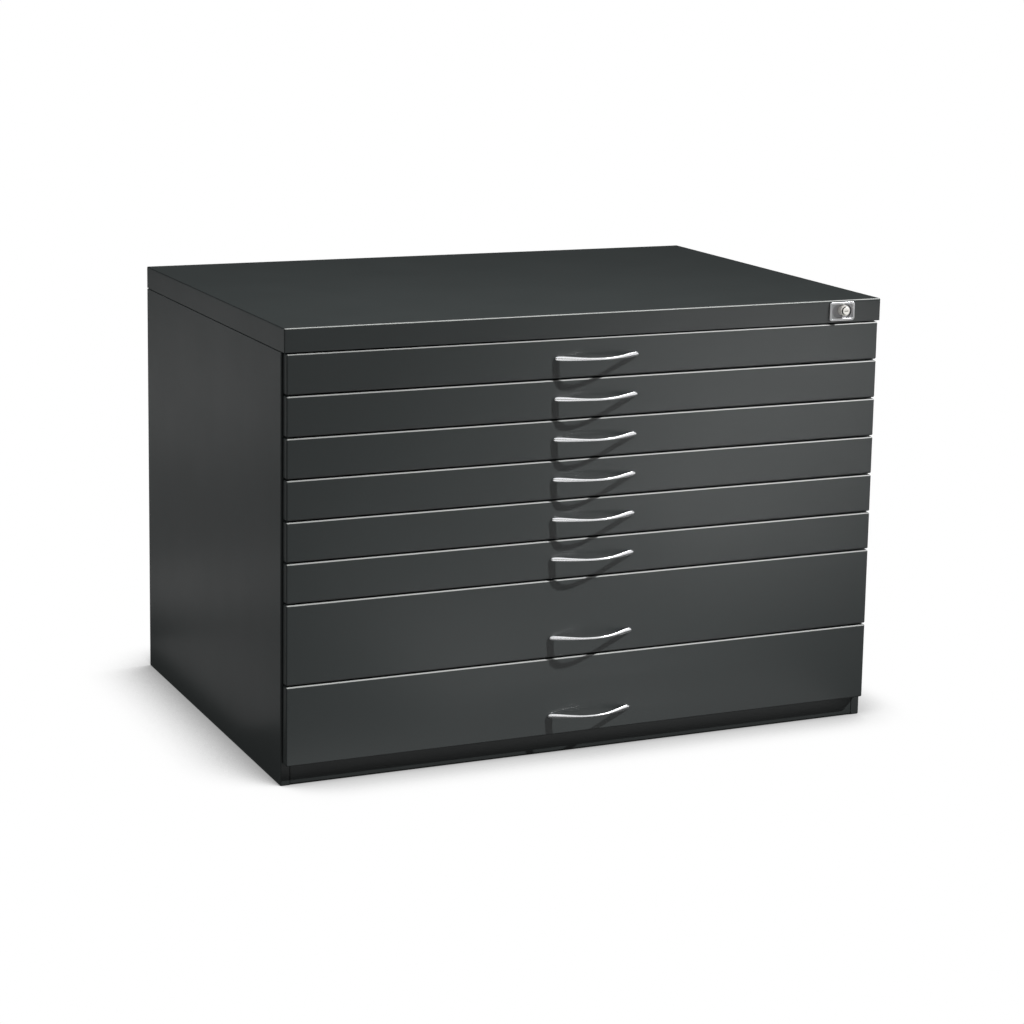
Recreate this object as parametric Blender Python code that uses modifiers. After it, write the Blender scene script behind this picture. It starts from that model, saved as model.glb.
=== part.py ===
"""Flat file cabinet: a steel plan chest with six shallow drawers and two deep ones.

Metres, +Z up, front towards -Y. The origin lies on the floor in the middle of the
footprint, which reaches from the handles' bows to the back of the top cover.
Every piece is drawn with Y counted back from the front plane of the drawer fronts,
and the empty that carries the cabinet puts that plane in its place.
"""
import math

import bmesh
import bpy
from mathutils import Matrix, Vector

# Driving sizes of the whole
CABINET_WIDTH = 1.100
CABINET_DEPTH = 0.765
DRAWER_UNITS = (1, 1, 1, 1, 1, 1, 2, 2)
DRAWER_PITCH = 0.0684
FRONT_RISE = 0.037
COVER_HEIGHT = 0.039
PANEL_SHEET = 0.0012
PANEL_BEND = 0.0022
BEND_STEPS = 2

# Clearances that more than one piece uses
TOUCH_GAP = 0.0003
WELD_LAP = 0.0005
CUT_OVERRUN = 0.002

# Drawer fronts
FRONT_SEAM = 0.0027
FRONT_SIDE_INSET = 0.004
FRONT_THICKNESS = 0.014
FRONT_BACK_GAP = 0.002
FRONT_SHEET = 0.0012
FRONT_BEND = 0.0026

# Handles
HANDLE_LENGTH = 0.157
HANDLE_PROJECTION = 0.029
HANDLE_RISE = 0.034
HANDLE_MIDDLE_HALF_HEIGHT = 0.0023
HANDLE_MIDDLE_HALF_DEPTH = 0.0024
HANDLE_LEAF_LENGTH = 0.012
HANDLE_LEAF_HALF_HEIGHT = 0.0044
HANDLE_LEAF_HALF_DEPTH = 0.0017
HANDLE_FOOT_LENGTH = 0.005
HANDLE_SEAT_SHARE = 0.6
HANDLE_TIP_FLAT = 0.0004
HANDLE_BOW_POWER = 1.3
HANDLE_SWELL_POWER = 1.6
HANDLE_TIP_POWER = 3
HANDLE_RINGS = 21
HANDLE_SIDES = 12

# Side panels, top cover, base, back, plinth and front rail
SIDE_FLANGE = 0.016
SHADOW_GAP = 0.002
SHADOW_GROOVE = 0.0023
COVER_LIP = 0.013
PLINTH_LAP = 0.0015
PLINTH_LIFT = 0.0015
PLINTH_SEAM = 0.0012
PLINTH_LIP = 0.020
BACK_FLANGE = 0.016
RAIL_SHEET = 0.0015
RAIL_DEPTH = 0.044

# Slide racks and slides
UPRIGHT_DEPTH = 0.027
UPRIGHT_WIDTH = 0.040
UPRIGHT_SHEET = 0.0015
SLIDE_THICKNESS = 0.020
SLIDE_HEIGHT = 0.036
SLIDE_OUTER_DEPTH = 0.015
SLIDE_SHEET = 0.0015
SLIDE_LIP = 0.003
SLIDE_PLAY = 0.0004
SLIDE_RISE = 0.028
SLIDE_REAR_ROOM = 0.030

# Drawer trays
TRAY_SHEET = 0.0010
TRAY_BEND = 0.0020
TRAY_LIFT = 0.0065
TRAY_TOP_DROP = 0.014
TRAY_REAR_ROOM = 0.046
INNER_FRONT_INSET = 0.002
INNER_FRONT_MARGIN = 0.003
HOOD_DEPTH = 0.110
HOOD_LIP = 0.007

# Lock in the rim of the top cover
LOCK_FROM_SIDE = 0.0785
LOCK_PLATE_WIDTH = 0.050
LOCK_PLATE_HEIGHT = 0.033
LOCK_PLATE_CORNER = 0.005
LOCK_PLATE_PROUD = 0.0028
LOCK_FRAME_WIDTH = 0.004
LOCK_WEB_PROUD = 0.0012
LOCK_WINDOW_CORNER = 0.002
LOCK_BOWL_SIDE = 0.002
LOCK_BOWL_EDGE = 0.0007
LOCK_BOWL_CORNER = 0.0115
LOCK_BOWL_DEPTH = 0.002
LOCK_BODY_WALL = 0.001
LOCK_BODY_FLOOR = 0.002
LOCK_CUT_OUT_PLAY = 0.0005
LOCK_CORNER_STEPS = 4
BOWL_CORNER_STEPS = 8
BARREL_SHIFT = 0.003
BARREL_RAISE = 0.0015
BARREL_RADIUS = 0.0090
BARREL_PROUD = 0.007
BARREL_PLAY = 0.0003
BARREL_LENGTH = 0.041
HOUSING_WALL = 0.0025
HOUSING_LENGTH = 0.029
TAIL_RADIUS = 0.004
TAIL_LENGTH = 0.004
PLUG_RADIUS = 0.0065
PLUG_PLAY = 0.0003
PLUG_PROUD = 0.004
PLUG_LENGTH = 0.020
KEYHOLE_LENGTH = 0.0076
KEYHOLE_WIDTH = 0.0014
KEYHOLE_DEPTH = 0.007
ROUND_STEPS = 24

# Locking bar, its cam and the hooks that it catches
LOCK_TRAVEL = 0.008
BAR_SIDE_ROOM = 0.0053
BAR_THICKNESS = 0.005
BAR_WIDTH = 0.016
BAR_FLANGE_ROOM = 0.0068
BAR_FOOT_ROOM = 0.020
PEG_RADIUS = 0.0022
PEG_CLEARANCE = 0.0010
PEG_OVERREACH = 0.0010
PEG_STEPS = 12
HOOK_THICKNESS = 0.0025
HOOK_RISE = 0.030
HOOK_HEAD = 0.005
HOOK_TIP = 0.004
ARM_THICKNESS = 0.0025
ARM_HEIGHT = 0.010
ARM_END_ROOM = 0.004
CAM_PIN_RADIUS = 0.0020
CAM_PLAY = 0.0003
CAM_MARGIN = 0.0020
STAPLE_SHEET = 0.0015
STAPLE_HEIGHT = 0.012
STAPLE_RISE = 0.046
STAPLE_DRAWERS = (1, 4, 7)

# Places that follow from the sizes
FRONT_Y = HANDLE_PROJECTION - (CABINET_DEPTH + HANDLE_PROJECTION) / 2
CABINET_HEIGHT = FRONT_RISE + DRAWER_PITCH * sum(DRAWER_UNITS) + COVER_HEIGHT
COVER_BOTTOM = CABINET_HEIGHT - COVER_HEIGHT
CARCASS_FRONT = FRONT_THICKNESS + FRONT_BACK_GAP
HALF_WIDTH = CABINET_WIDTH / 2
SIDE_INNER = HALF_WIDTH - PANEL_SHEET
NECK_OUTER = HALF_WIDTH - SHADOW_GROOVE
NECK_INNER = NECK_OUTER - PANEL_SHEET
FLANGE_TOP = CABINET_HEIGHT - PANEL_SHEET - TOUCH_GAP
RAIL_TOP = FLANGE_TOP - PANEL_SHEET - TOUCH_GAP
RAIL_BOTTOM = COVER_BOTTOM + PANEL_SHEET + SHADOW_GAP
BEND_ROOM = PANEL_BEND - PANEL_SHEET + TOUCH_GAP
PLINTH_TOP = FRONT_RISE + PLINTH_LAP
BASE_TOP = PLINTH_TOP + TOUCH_GAP + PANEL_SHEET
BACK_OUTER = CABINET_DEPTH - PANEL_SHEET - TOUCH_GAP
UPRIGHT_FACE = SIDE_INNER - TOUCH_GAP - UPRIGHT_DEPTH
TRAY_HALF_WIDTH = UPRIGHT_FACE - SLIDE_THICKNESS
INNER_FRONT_Y = FRONT_THICKNESS + TOUCH_GAP
TRAY_BACK = CABINET_DEPTH - TRAY_REAR_ROOM
SLIDE_END = CABINET_DEPTH - SLIDE_REAR_ROOM
BAR_OUTER = SIDE_INNER - BAR_SIDE_ROOM
BAR_INNER = BAR_OUTER - BAR_THICKNESS
BAR_FRONT = CARCASS_FRONT + PANEL_SHEET + BAR_FLANGE_ROOM
BAR_BACK = BAR_FRONT + BAR_WIDTH
PEG_Y = BAR_FRONT + BAR_WIDTH / 2 - HOOK_TIP / 2
UPRIGHT_FRONT = BAR_BACK + SLIDE_PLAY
SLIDE_START = UPRIGHT_FRONT + UPRIGHT_SHEET
HOOK_X = (UPRIGHT_FACE + HALF_WIDTH - SIDE_FLANGE) / 2
LOCK_X = HALF_WIDTH - LOCK_FROM_SIDE
LOCK_Z = COVER_BOTTOM + COVER_HEIGHT / 2
BARREL_X = LOCK_X + BARREL_SHIFT
BARREL_Z = LOCK_Z + BARREL_RAISE
BARREL_END = BARREL_LENGTH - BARREL_PROUD
ARM_FRONT = BARREL_END + TAIL_LENGTH + TOUCH_GAP
CAM_Y = ARM_FRONT + ARM_THICKNESS / 2

COATED_STEEL = (0.036, 0.041, 0.041, 1.0)
TRAY_STEEL = (0.045, 0.050, 0.050, 1.0)
ZINC_STEEL = (0.55, 0.56, 0.57, 1.0)
CHROME = (0.82, 0.83, 0.84, 1.0)
LOCK_STEEL = (0.70, 0.70, 0.68, 1.0)


def front_bottom(number):
    """Height of a drawer front's lower edge; drawer 1 is the top one."""
    return FRONT_RISE + DRAWER_PITCH * sum(DRAWER_UNITS[number:])


def front_height(units):
    """Height of a drawer front that takes so many pitches."""
    return DRAWER_PITCH * units - FRONT_SEAM


def tray_top(units):
    """Height of a tray's rim above its front's lower edge."""
    return front_height(units) - TRAY_TOP_DROP


# Modelling helpers

def clear_scene():
    """Empties the file of objects, meshes, curves and materials."""
    for thing in list(bpy.data.objects):
        bpy.data.objects.remove(thing, do_unlink=True)
    for store in (bpy.data.meshes, bpy.data.curves, bpy.data.materials):
        for block in list(store):
            store.remove(block)


def new_collection(name):
    """Collection of the scene with the given name."""
    collection = bpy.data.collections.get(name) or bpy.data.collections.new(name)
    if name not in bpy.context.scene.collection.children:
        bpy.context.scene.collection.children.link(collection)
    return collection


def coat(name, color, roughness, metallic):
    """Principled material of one finish."""
    material = bpy.data.materials.new(name)
    material.use_nodes = True
    shader = material.node_tree.nodes["Principled BSDF"]
    shader.inputs["Base Color"].default_value = color
    shader.inputs["Roughness"].default_value = roughness
    shader.inputs["Metallic"].default_value = metallic
    material.diffuse_color = color
    return material


def tool_object(name, data):
    """Object in the cutters' collection: a wire guide until it is fused or used up."""
    thing = bpy.data.objects.new(name, data)
    bpy.data.collections["cutters"].objects.link(thing)
    thing.display_type = "WIRE"
    thing.hide_render = True
    return thing


def mesh_object(name, work):
    """Object from a bmesh, which is freed."""
    mesh = bpy.data.meshes.new(name)
    work.to_mesh(mesh)
    work.free()
    return tool_object(name, mesh)


def evaluated_mesh(thing, name):
    """The object's mesh with its modifiers applied; the object is used up."""
    bpy.context.view_layer.update()
    graph = bpy.context.evaluated_depsgraph_get()
    mesh = bpy.data.meshes.new_from_object(thing.evaluated_get(graph))
    mesh.name = name
    bpy.data.objects.remove(thing, do_unlink=True)
    return mesh


def thicken(thing, sheet, offset):
    """Gives an open surface the thickness of the sheet."""
    solid = thing.modifiers.new("sheet", "SOLIDIFY")
    solid.thickness = sheet
    solid.offset = offset
    solid.use_even_offset = True
    solid.use_quality_normals = True
    return thing


def fuse(name, base, added=(), removed=()):
    """One mesh from a base object, welded features and cutters."""
    operands = [(thing, "UNION") for thing in added] + [(thing, "DIFFERENCE") for thing in removed]
    for thing, operation in operands:
        step = base.modifiers.new(thing.name, "BOOLEAN")
        step.operation = operation
        step.solver = "EXACT"
        step.object = thing
    mesh = evaluated_mesh(base, name)
    for thing, _ in operands:
        bpy.data.objects.remove(thing, do_unlink=True)
    return mesh


def box_bmesh(low, high):
    """Cube primitive stretched from one corner to the other."""
    low, high = Vector(low), Vector(high)
    work = bmesh.new()
    bmesh.ops.create_cube(work, size=1)
    bmesh.ops.scale(work, vec=high - low, verts=work.verts)
    bmesh.ops.translate(work, vec=(low + high) / 2, verts=work.verts)
    work.normal_update()
    return work


def block(name, low, high):
    """Plain block, for a welded bar or a cutter."""
    return mesh_object(name, box_bmesh(low, high))


def rod(name, start, end, radius, steps):
    """Round bar between two points."""
    start, end = Vector(start), Vector(end)
    along = end - start
    work = bmesh.new()
    turn = Vector((0, 0, 1)).rotation_difference(along).to_matrix().to_4x4()
    bmesh.ops.create_cone(work, cap_ends=True, segments=steps, radius1=radius, radius2=radius,
                          depth=along.length, matrix=Matrix.Translation((start + end) / 2) @ turn)
    return mesh_object(name, work)


def folded_box(name, low, high, open_sides, sheet, bend, turned_in=()):
    """Box of bent sheet, of the given outer size, with some sides left open.

    turned_in lists (side, distances): the free edge on that side is carried on by each
    distance in turn, before the sheet gets its thickness inwards.
    """
    work = box_bmesh(low, high)
    open_faces = [face for face in work.faces
                  if any(face.normal.dot(Vector(side)) > 0.5 for side in open_sides)]
    bmesh.ops.delete(work, geom=open_faces, context="FACES")
    folds = [edge for edge in work.edges if len(edge.link_faces) == 2]
    bmesh.ops.bevel(work, geom=folds, offset=bend, segments=BEND_STEPS, profile=0.5, affect="EDGES")
    for side, distances in turned_in:
        extend_edge(work, Vector(side), distances)
    return thicken(mesh_object(name, work), sheet, -1)


def extend_edge(work, side, distances):
    """Carries the longest free edge of the face on one side on by each distance in turn."""
    work.normal_update()
    free = [edge for edge in work.edges
            if len(edge.link_faces) == 1 and edge.link_faces[0].normal.dot(side) > 0.99]
    edges = [max(free, key=lambda edge: edge.calc_length())]
    for distance in distances:
        grown = bmesh.ops.extrude_edge_only(work, edges=edges)["geom"]
        verts = [part for part in grown if isinstance(part, bmesh.types.BMVert)]
        bmesh.ops.translate(work, vec=distance, verts=verts)
        edges = [edge for edge in grown if isinstance(edge, bmesh.types.BMEdge)
                 and all(vert in verts for vert in edge.verts)]


def rolled_section(name, lines, sheet, start, end, along):
    """Sheet rolled to open sections: each line of points, given in the two other axes,
    is drawn from start to end along one axis and thickened evenly about its middle."""
    work = bmesh.new()
    travel = Vector([end - start if axis == along else 0 for axis in "XYZ"])
    for line in lines:
        verts = []
        for pair in line:
            places = iter(pair)
            point = [start if axis == along else next(places) for axis in "XYZ"]
            verts.append(work.verts.new(point))
        edges = [work.edges.new(pair) for pair in zip(verts, verts[1:])]
        grown = bmesh.ops.extrude_edge_only(work, edges=edges)["geom"]
        moved = [part for part in grown if isinstance(part, bmesh.types.BMVert)]
        bmesh.ops.translate(work, vec=travel, verts=moved)
    bmesh.ops.recalc_face_normals(work, faces=work.faces)
    return thicken(mesh_object(name, work), sheet, 0)


def plate(name, outline, start, end, across):
    """Flat outline cut from plate: a filled 2D curve, extruded from start to end."""
    curve = bpy.data.curves.new(name, "CURVE")
    curve.dimensions = "2D"
    curve.fill_mode = "BOTH"
    curve.extrude = (end - start) / 2
    spline = curve.splines.new("POLY")
    spline.points.add(len(outline) - 1)
    for point, (right, up) in zip(spline.points, outline):
        point.co = (right, up, 0, 1)
    spline.use_cyclic_u = True
    mesh = evaluated_mesh(tool_object(name, curve), name)
    bpy.data.curves.remove(curve)
    weld(mesh)
    if across == "Y":
        turn = Matrix.Rotation(math.radians(90), 4, "X")
    else:
        turn = Matrix(((0, 0, 1, 0), (1, 0, 0, 0), (0, 1, 0, 0), (0, 0, 0, 1)))
    middle = Vector([(start + end) / 2 if axis == across else 0 for axis in "XYZ"])
    mesh.transform(Matrix.Translation(middle) @ turn)
    return tool_object(name, mesh)


def weld(mesh):
    """Closes a curve's loose caps."""
    work = bmesh.new()
    work.from_mesh(mesh)
    bmesh.ops.remove_doubles(work, verts=work.verts, dist=TOUCH_GAP / 10)
    bmesh.ops.recalc_face_normals(work, faces=work.faces)
    work.to_mesh(mesh)
    work.free()


def rounded_rectangle(center, width, height, corner, steps):
    """Outline of a rectangle with round corners, counted anticlockwise."""
    points = []
    for quarter, (right, up) in enumerate(((1, 1), (-1, 1), (-1, -1), (1, -1))):
        middle = (center[0] + right * (width / 2 - corner), center[1] + up * (height / 2 - corner))
        for step in range(steps + 1):
            angle = math.radians(90) * (quarter + step / steps)
            points.append((middle[0] + corner * math.cos(angle), middle[1] + corner * math.sin(angle)))
    return points


def shade_round(mesh):
    """Smooth shading that keeps the sharp bends."""
    mesh.shade_smooth()
    mesh.set_sharp_from_angle(angle=math.radians(35))


def add_part(name, mesh, material, carrier):
    """Named sub-part on its carrier, with its finish."""
    shade_round(mesh)
    if not mesh.materials:
        mesh.materials.append(material)
    part = bpy.data.objects.new(name, mesh)
    bpy.data.collections["flat_file_cabinet"].objects.link(part)
    part.parent = carrier
    return part


def add_carrier(name, place, parent):
    """Empty on a moving piece's joint axis."""
    carrier = bpy.data.objects.new(name, None)
    bpy.data.collections["flat_file_cabinet"].objects.link(carrier)
    carrier.location = place
    carrier.parent = parent
    return carrier


# Carcass

def side_panel(name, side):
    """Outer sheet with a turned-in flange all round; at the top it steps in below the
    cover's rim, which leaves the dark shadow line, and ends in a flange under the cover."""
    low = (-HALF_WIDTH if side < 0 else HALF_WIDTH - SIDE_FLANGE, CARCASS_FRONT, 0)
    high = (-HALF_WIDTH + SIDE_FLANGE if side < 0 else HALF_WIDTH, CABINET_DEPTH, COVER_BOTTOM - SHADOW_GAP)
    neck = (Vector((-side * SHADOW_GROOVE, 0, 0)),
            Vector((0, 0, FLANGE_TOP - high[2])),
            Vector((-side * (SIDE_FLANGE - SHADOW_GROOVE), 0, 0)))
    panel = folded_box(name, low, high, ((-side, 0, 0), (0, 0, 1)), PANEL_SHEET, PANEL_BEND,
                       turned_in=(((side, 0, 0), neck),))
    return evaluated_mesh(panel, name)


def top_cover():
    """Lid with a rim on all sides, a return lip along the front and a cut-out for the lock."""
    lid = folded_box("top_cover", (-HALF_WIDTH, 0, COVER_BOTTOM), (HALF_WIDTH, CABINET_DEPTH, CABINET_HEIGHT),
                     ((0, 0, -1),), PANEL_SHEET, PANEL_BEND,
                     turned_in=(((0, -1, 0), (Vector((0, COVER_LIP, 0)),)),))
    half_width, half_height = lock_body_half_size()
    reach_x, reach_z = half_width + LOCK_CUT_OUT_PLAY, half_height + LOCK_CUT_OUT_PLAY
    cut_out = block("lock_cut_out",
                    (LOCK_X - reach_x, -CUT_OVERRUN, LOCK_Z - reach_z),
                    (LOCK_X + reach_x, PANEL_SHEET + CUT_OVERRUN, LOCK_Z + reach_z))
    return fuse("top_cover", lid, removed=(cut_out,))


def back_panel():
    """Pan that closes the back; its sheet lies against the side panels' rear flanges."""
    half = NECK_INNER - TOUCH_GAP
    panel = folded_box("back_panel", (-half, BACK_OUTER - BACK_FLANGE, BASE_TOP + TOUCH_GAP),
                       (half, BACK_OUTER, RAIL_TOP), ((0, -1, 0),), PANEL_SHEET, PANEL_BEND)
    return evaluated_mesh(panel, "back_panel")


def base_panel():
    """Bottom pan; its turned-down edges stand on the side panels' bottom flanges."""
    half = SIDE_INNER - BEND_ROOM
    front = CARCASS_FRONT + PANEL_SHEET + BEND_ROOM
    panel = folded_box("base_panel", (-half, front, PANEL_SHEET + TOUCH_GAP),
                       (half, BACK_OUTER - BEND_ROOM, BASE_TOP), ((0, 0, -1), (0, -1, 0)),
                       PANEL_SHEET, PANEL_BEND)
    return evaluated_mesh(panel, "base_panel")


def plinth_front():
    """Channel between the front flanges, open to the back, just clear of the floor."""
    half = HALF_WIDTH - SIDE_FLANGE - PLINTH_SEAM
    panel = folded_box("plinth_front", (-half, CARCASS_FRONT, PLINTH_LIFT),
                       (half, CARCASS_FRONT + PLINTH_LIP, PLINTH_TOP),
                       ((0, 1, 0), (-1, 0, 0), (1, 0, 0)), PANEL_SHEET, PANEL_BEND)
    return evaluated_mesh(panel, "plinth_front")


def top_front_rail():
    """Channel under the top cover, open to the back. The lock's housing and the locking
    bar pass through it."""
    middle = RAIL_SHEET / 2
    section = ((CARCASS_FRONT + RAIL_DEPTH, RAIL_BOTTOM + middle), (CARCASS_FRONT + middle, RAIL_BOTTOM + middle),
               (CARCASS_FRONT + middle, RAIL_TOP - middle), (CARCASS_FRONT + RAIL_DEPTH, RAIL_TOP - middle))
    half = NECK_INNER - TOUCH_GAP
    rail = rolled_section("top_front_rail", (section,), RAIL_SHEET, -half, half, "X")
    housing_hole = rod("housing_hole", (BARREL_X, CARCASS_FRONT - CUT_OVERRUN, BARREL_Z),
                       (BARREL_X, CARCASS_FRONT + RAIL_SHEET + CUT_OVERRUN, BARREL_Z),
                       BARREL_RADIUS + BARREL_PLAY + HOUSING_WALL + 2 * TOUCH_GAP, ROUND_STEPS)
    bar_slot = block("bar_slot", (BAR_INNER - WELD_LAP, BAR_FRONT - WELD_LAP, RAIL_BOTTOM - CUT_OVERRUN),
                     (BAR_OUTER + WELD_LAP, BAR_BACK + WELD_LAP, RAIL_BOTTOM + RAIL_SHEET + CUT_OVERRUN))
    return fuse("top_front_rail", rail, removed=(housing_hole, bar_slot))


# Slides: outer members on the racks, middle members, inner members on the trays

def slide_x(side, depth):
    """X of a point in the slide, counted from the rack's face towards the tray."""
    return side * (UPRIGHT_FACE - depth)


def outer_section(side, height):
    """Outer member: a channel with lips, its web let into the uprights' faces."""
    web = SLIDE_SHEET / 2 - WELD_LAP
    edge = SLIDE_OUTER_DEPTH - SLIDE_SHEET / 2
    flange = SLIDE_HEIGHT / 2 - SLIDE_SHEET / 2
    lip = SLIDE_HEIGHT / 2 - SLIDE_LIP
    half = ((edge, lip), (edge, flange), (web, flange))
    points = half + tuple((depth, -up) for depth, up in reversed(half))
    return [(slide_x(side, depth), height + up) for depth, up in points]


def middle_half_height():
    """Half height of the middle member over its flanges."""
    return SLIDE_HEIGHT / 2 - SLIDE_SHEET - SLIDE_PLAY


def middle_section(side, height):
    """Middle member: runs inside the outer one and holds the inner one."""
    web = SLIDE_SHEET - WELD_LAP + SLIDE_PLAY + SLIDE_SHEET / 2
    edge = SLIDE_OUTER_DEPTH - SLIDE_SHEET - SLIDE_PLAY - SLIDE_SHEET / 2
    flange = middle_half_height() - SLIDE_SHEET / 2
    lip = middle_half_height() - SLIDE_LIP
    half = ((edge, lip), (edge, flange), (web, flange))
    points = half + tuple((depth, -up) for depth, up in reversed(half))
    return [(slide_x(side, depth), height + up) for depth, up in points]


def inner_section(side, height):
    """Inner member: a channel on the tray's side wall that reaches into the middle one."""
    web = SLIDE_THICKNESS - SLIDE_SHEET / 2 + WELD_LAP
    tip = 2 * (SLIDE_SHEET + SLIDE_PLAY)
    flange = middle_half_height() - SLIDE_LIP - SLIDE_PLAY - SLIDE_SHEET / 2
    points = ((tip, flange), (web, flange), (web, -flange), (tip, -flange))
    return [(slide_x(side, depth), height + up) for depth, up in points]


def slide_rack(name, side):
    """Two uprights and the outer slide members of all drawers, welded into one ladder.
    The right rack also guides the locking bar with staples."""
    middle = UPRIGHT_SHEET / 2
    wall, face = side * (UPRIGHT_FACE + UPRIGHT_DEPTH), side * (UPRIGHT_FACE + middle)
    low, high = BASE_TOP + TOUCH_GAP, COVER_BOTTOM - SHADOW_GAP - PANEL_SHEET - TOUCH_GAP
    rear = SLIDE_END - UPRIGHT_WIDTH
    channels = []
    for front in (UPRIGHT_FRONT, rear):
        near, far = front + middle, front + UPRIGHT_WIDTH - middle
        channels.append(((wall, near), (face, near), (face, far), (wall, far)))
    rack = rolled_section(name, channels[:1], UPRIGHT_SHEET, low, high, "Z")
    added = [rolled_section("rear_upright", channels[1:], UPRIGHT_SHEET, low, high, "Z")]
    sections = [outer_section(side, front_bottom(number) + SLIDE_RISE)
                for number in range(1, len(DRAWER_UNITS) + 1)]
    added.append(rolled_section("outer_members", sections, SLIDE_SHEET, SLIDE_START, SLIDE_END, "Y"))
    removed = []
    if side > 0:
        for number in STAPLE_DRAWERS:
            foot = front_bottom(number) + STAPLE_RISE
            added.append(block("staple", (BAR_INNER - SLIDE_PLAY - STAPLE_SHEET,
                                          BAR_FRONT - SLIDE_PLAY - STAPLE_SHEET, foot),
                               (BAR_OUTER + SLIDE_PLAY + STAPLE_SHEET, UPRIGHT_FRONT + WELD_LAP,
                                foot + STAPLE_HEIGHT)))
        removed.append(block("bar_way", (BAR_INNER - SLIDE_PLAY, BAR_FRONT - SLIDE_PLAY, low - CUT_OVERRUN),
                             (BAR_OUTER + SLIDE_PLAY, UPRIGHT_FRONT, high + CUT_OVERRUN)))
    return fuse(name, rack, added, removed)


def slide_middle(name, side):
    """One middle member, at the height of its drawer's slide."""
    member = rolled_section(name, (middle_section(side, SLIDE_RISE),), SLIDE_SHEET, SLIDE_START, SLIDE_END, "Y")
    return evaluated_mesh(member, name)


# Drawers

def drawer_front(units):
    """Pan of bent sheet, open to the back, with soft edges."""
    half = HALF_WIDTH - FRONT_SIDE_INSET
    pan = folded_box("drawer_front", (-half, 0, 0), (half, FRONT_THICKNESS, front_height(units)),
                     ((0, 1, 0),), FRONT_SHEET, FRONT_BEND)
    return evaluated_mesh(pan, "drawer_front_%d" % units)


def hook_outline():
    """Lock hook in side view: a plate from the inner front with a notch open downwards."""
    foot, top = HOOK_RISE, HOOK_RISE + LOCK_TRAVEL + HOOK_HEAD
    front, back = PEG_Y - PEG_RADIUS - PEG_CLEARANCE / 2, PEG_Y + PEG_RADIUS + PEG_CLEARANCE / 2
    roof = HOOK_RISE + LOCK_TRAVEL - PEG_CLEARANCE / 2
    return ((INNER_FRONT_Y + WELD_LAP, foot), (front, foot), (front, roof), (back, roof), (back, foot),
            (back + HOOK_TIP, foot), (back + HOOK_TIP, top), (INNER_FRONT_Y + WELD_LAP, top))


def drawer_tray(units):
    """Tray with its inner front, rear hood, inner slide members and lock hook."""
    half, top, height = TRAY_HALF_WIDTH, tray_top(units), front_height(units)
    pan = folded_box("tray", (-half, INNER_FRONT_Y + WELD_LAP, TRAY_LIFT), (half, TRAY_BACK, top),
                     ((0, 0, 1),), TRAY_SHEET, TRAY_BEND)
    wall = HALF_WIDTH - FRONT_SIDE_INSET - INNER_FRONT_INSET
    inner_front = block("inner_front", (-wall, INNER_FRONT_Y, INNER_FRONT_MARGIN),
                        (wall, INNER_FRONT_Y + TRAY_SHEET, height - INNER_FRONT_MARGIN))
    middle = top - WELD_LAP - TRAY_SHEET / 2
    hood_line = ((TRAY_BACK - WELD_LAP, middle), (TRAY_BACK - HOOD_DEPTH, middle),
                 (TRAY_BACK - HOOD_DEPTH - HOOD_LIP, middle - HOOD_LIP))
    hood = rolled_section("hood", (hood_line,), TRAY_SHEET, -half + WELD_LAP, half - WELD_LAP, "X")
    members = [rolled_section("inner_member", (inner_section(side, SLIDE_RISE),), SLIDE_SHEET, SLIDE_START,
                              TRAY_BACK - TRAY_BEND, "Y") for side in (-1, 1)]
    hook = plate("hook", hook_outline(), HOOK_X - HOOK_THICKNESS / 2, HOOK_X + HOOK_THICKNESS / 2, "X")
    return fuse("drawer_tray_%d" % units, pan, [inner_front, hood] + members + [hook])


def handle_section(distance):
    """Reach of the middle line, half height and half depth of the bow, by the distance from
    its middle. It swells to a leaf towards each foot, and the leaf ends in a round tip."""
    half = HANDLE_LENGTH / 2
    tip = math.sqrt(1 - (1 - min((half - distance) / HANDLE_LEAF_LENGTH, 1)) ** HANDLE_TIP_POWER)
    swell = min(distance / (half - HANDLE_LEAF_LENGTH), 1) ** HANDLE_SWELL_POWER
    swell = swell ** 2 * (3 - 2 * swell)
    height = HANDLE_MIDDLE_HALF_HEIGHT + (HANDLE_LEAF_HALF_HEIGHT - HANDLE_MIDDLE_HALF_HEIGHT) * swell
    depth = tip * (HANDLE_MIDDLE_HALF_DEPTH + (HANDLE_LEAF_HALF_DEPTH - HANDLE_MIDDLE_HALF_DEPTH) * swell)
    foot = TOUCH_GAP + HANDLE_SEAT_SHARE * depth
    reach = foot + (HANDLE_PROJECTION - HANDLE_MIDDLE_HALF_DEPTH - foot) * handle_arch(distance)
    return reach, height * tip, depth


def handle_arch(distance):
    """Share of the bow's full reach: one in the middle, nothing where the feet lie flat."""
    share = min(distance / (HANDLE_LENGTH / 2 - HANDLE_FOOT_LENGTH), 1)
    return (1 - share ** 2) ** HANDLE_BOW_POWER


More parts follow.
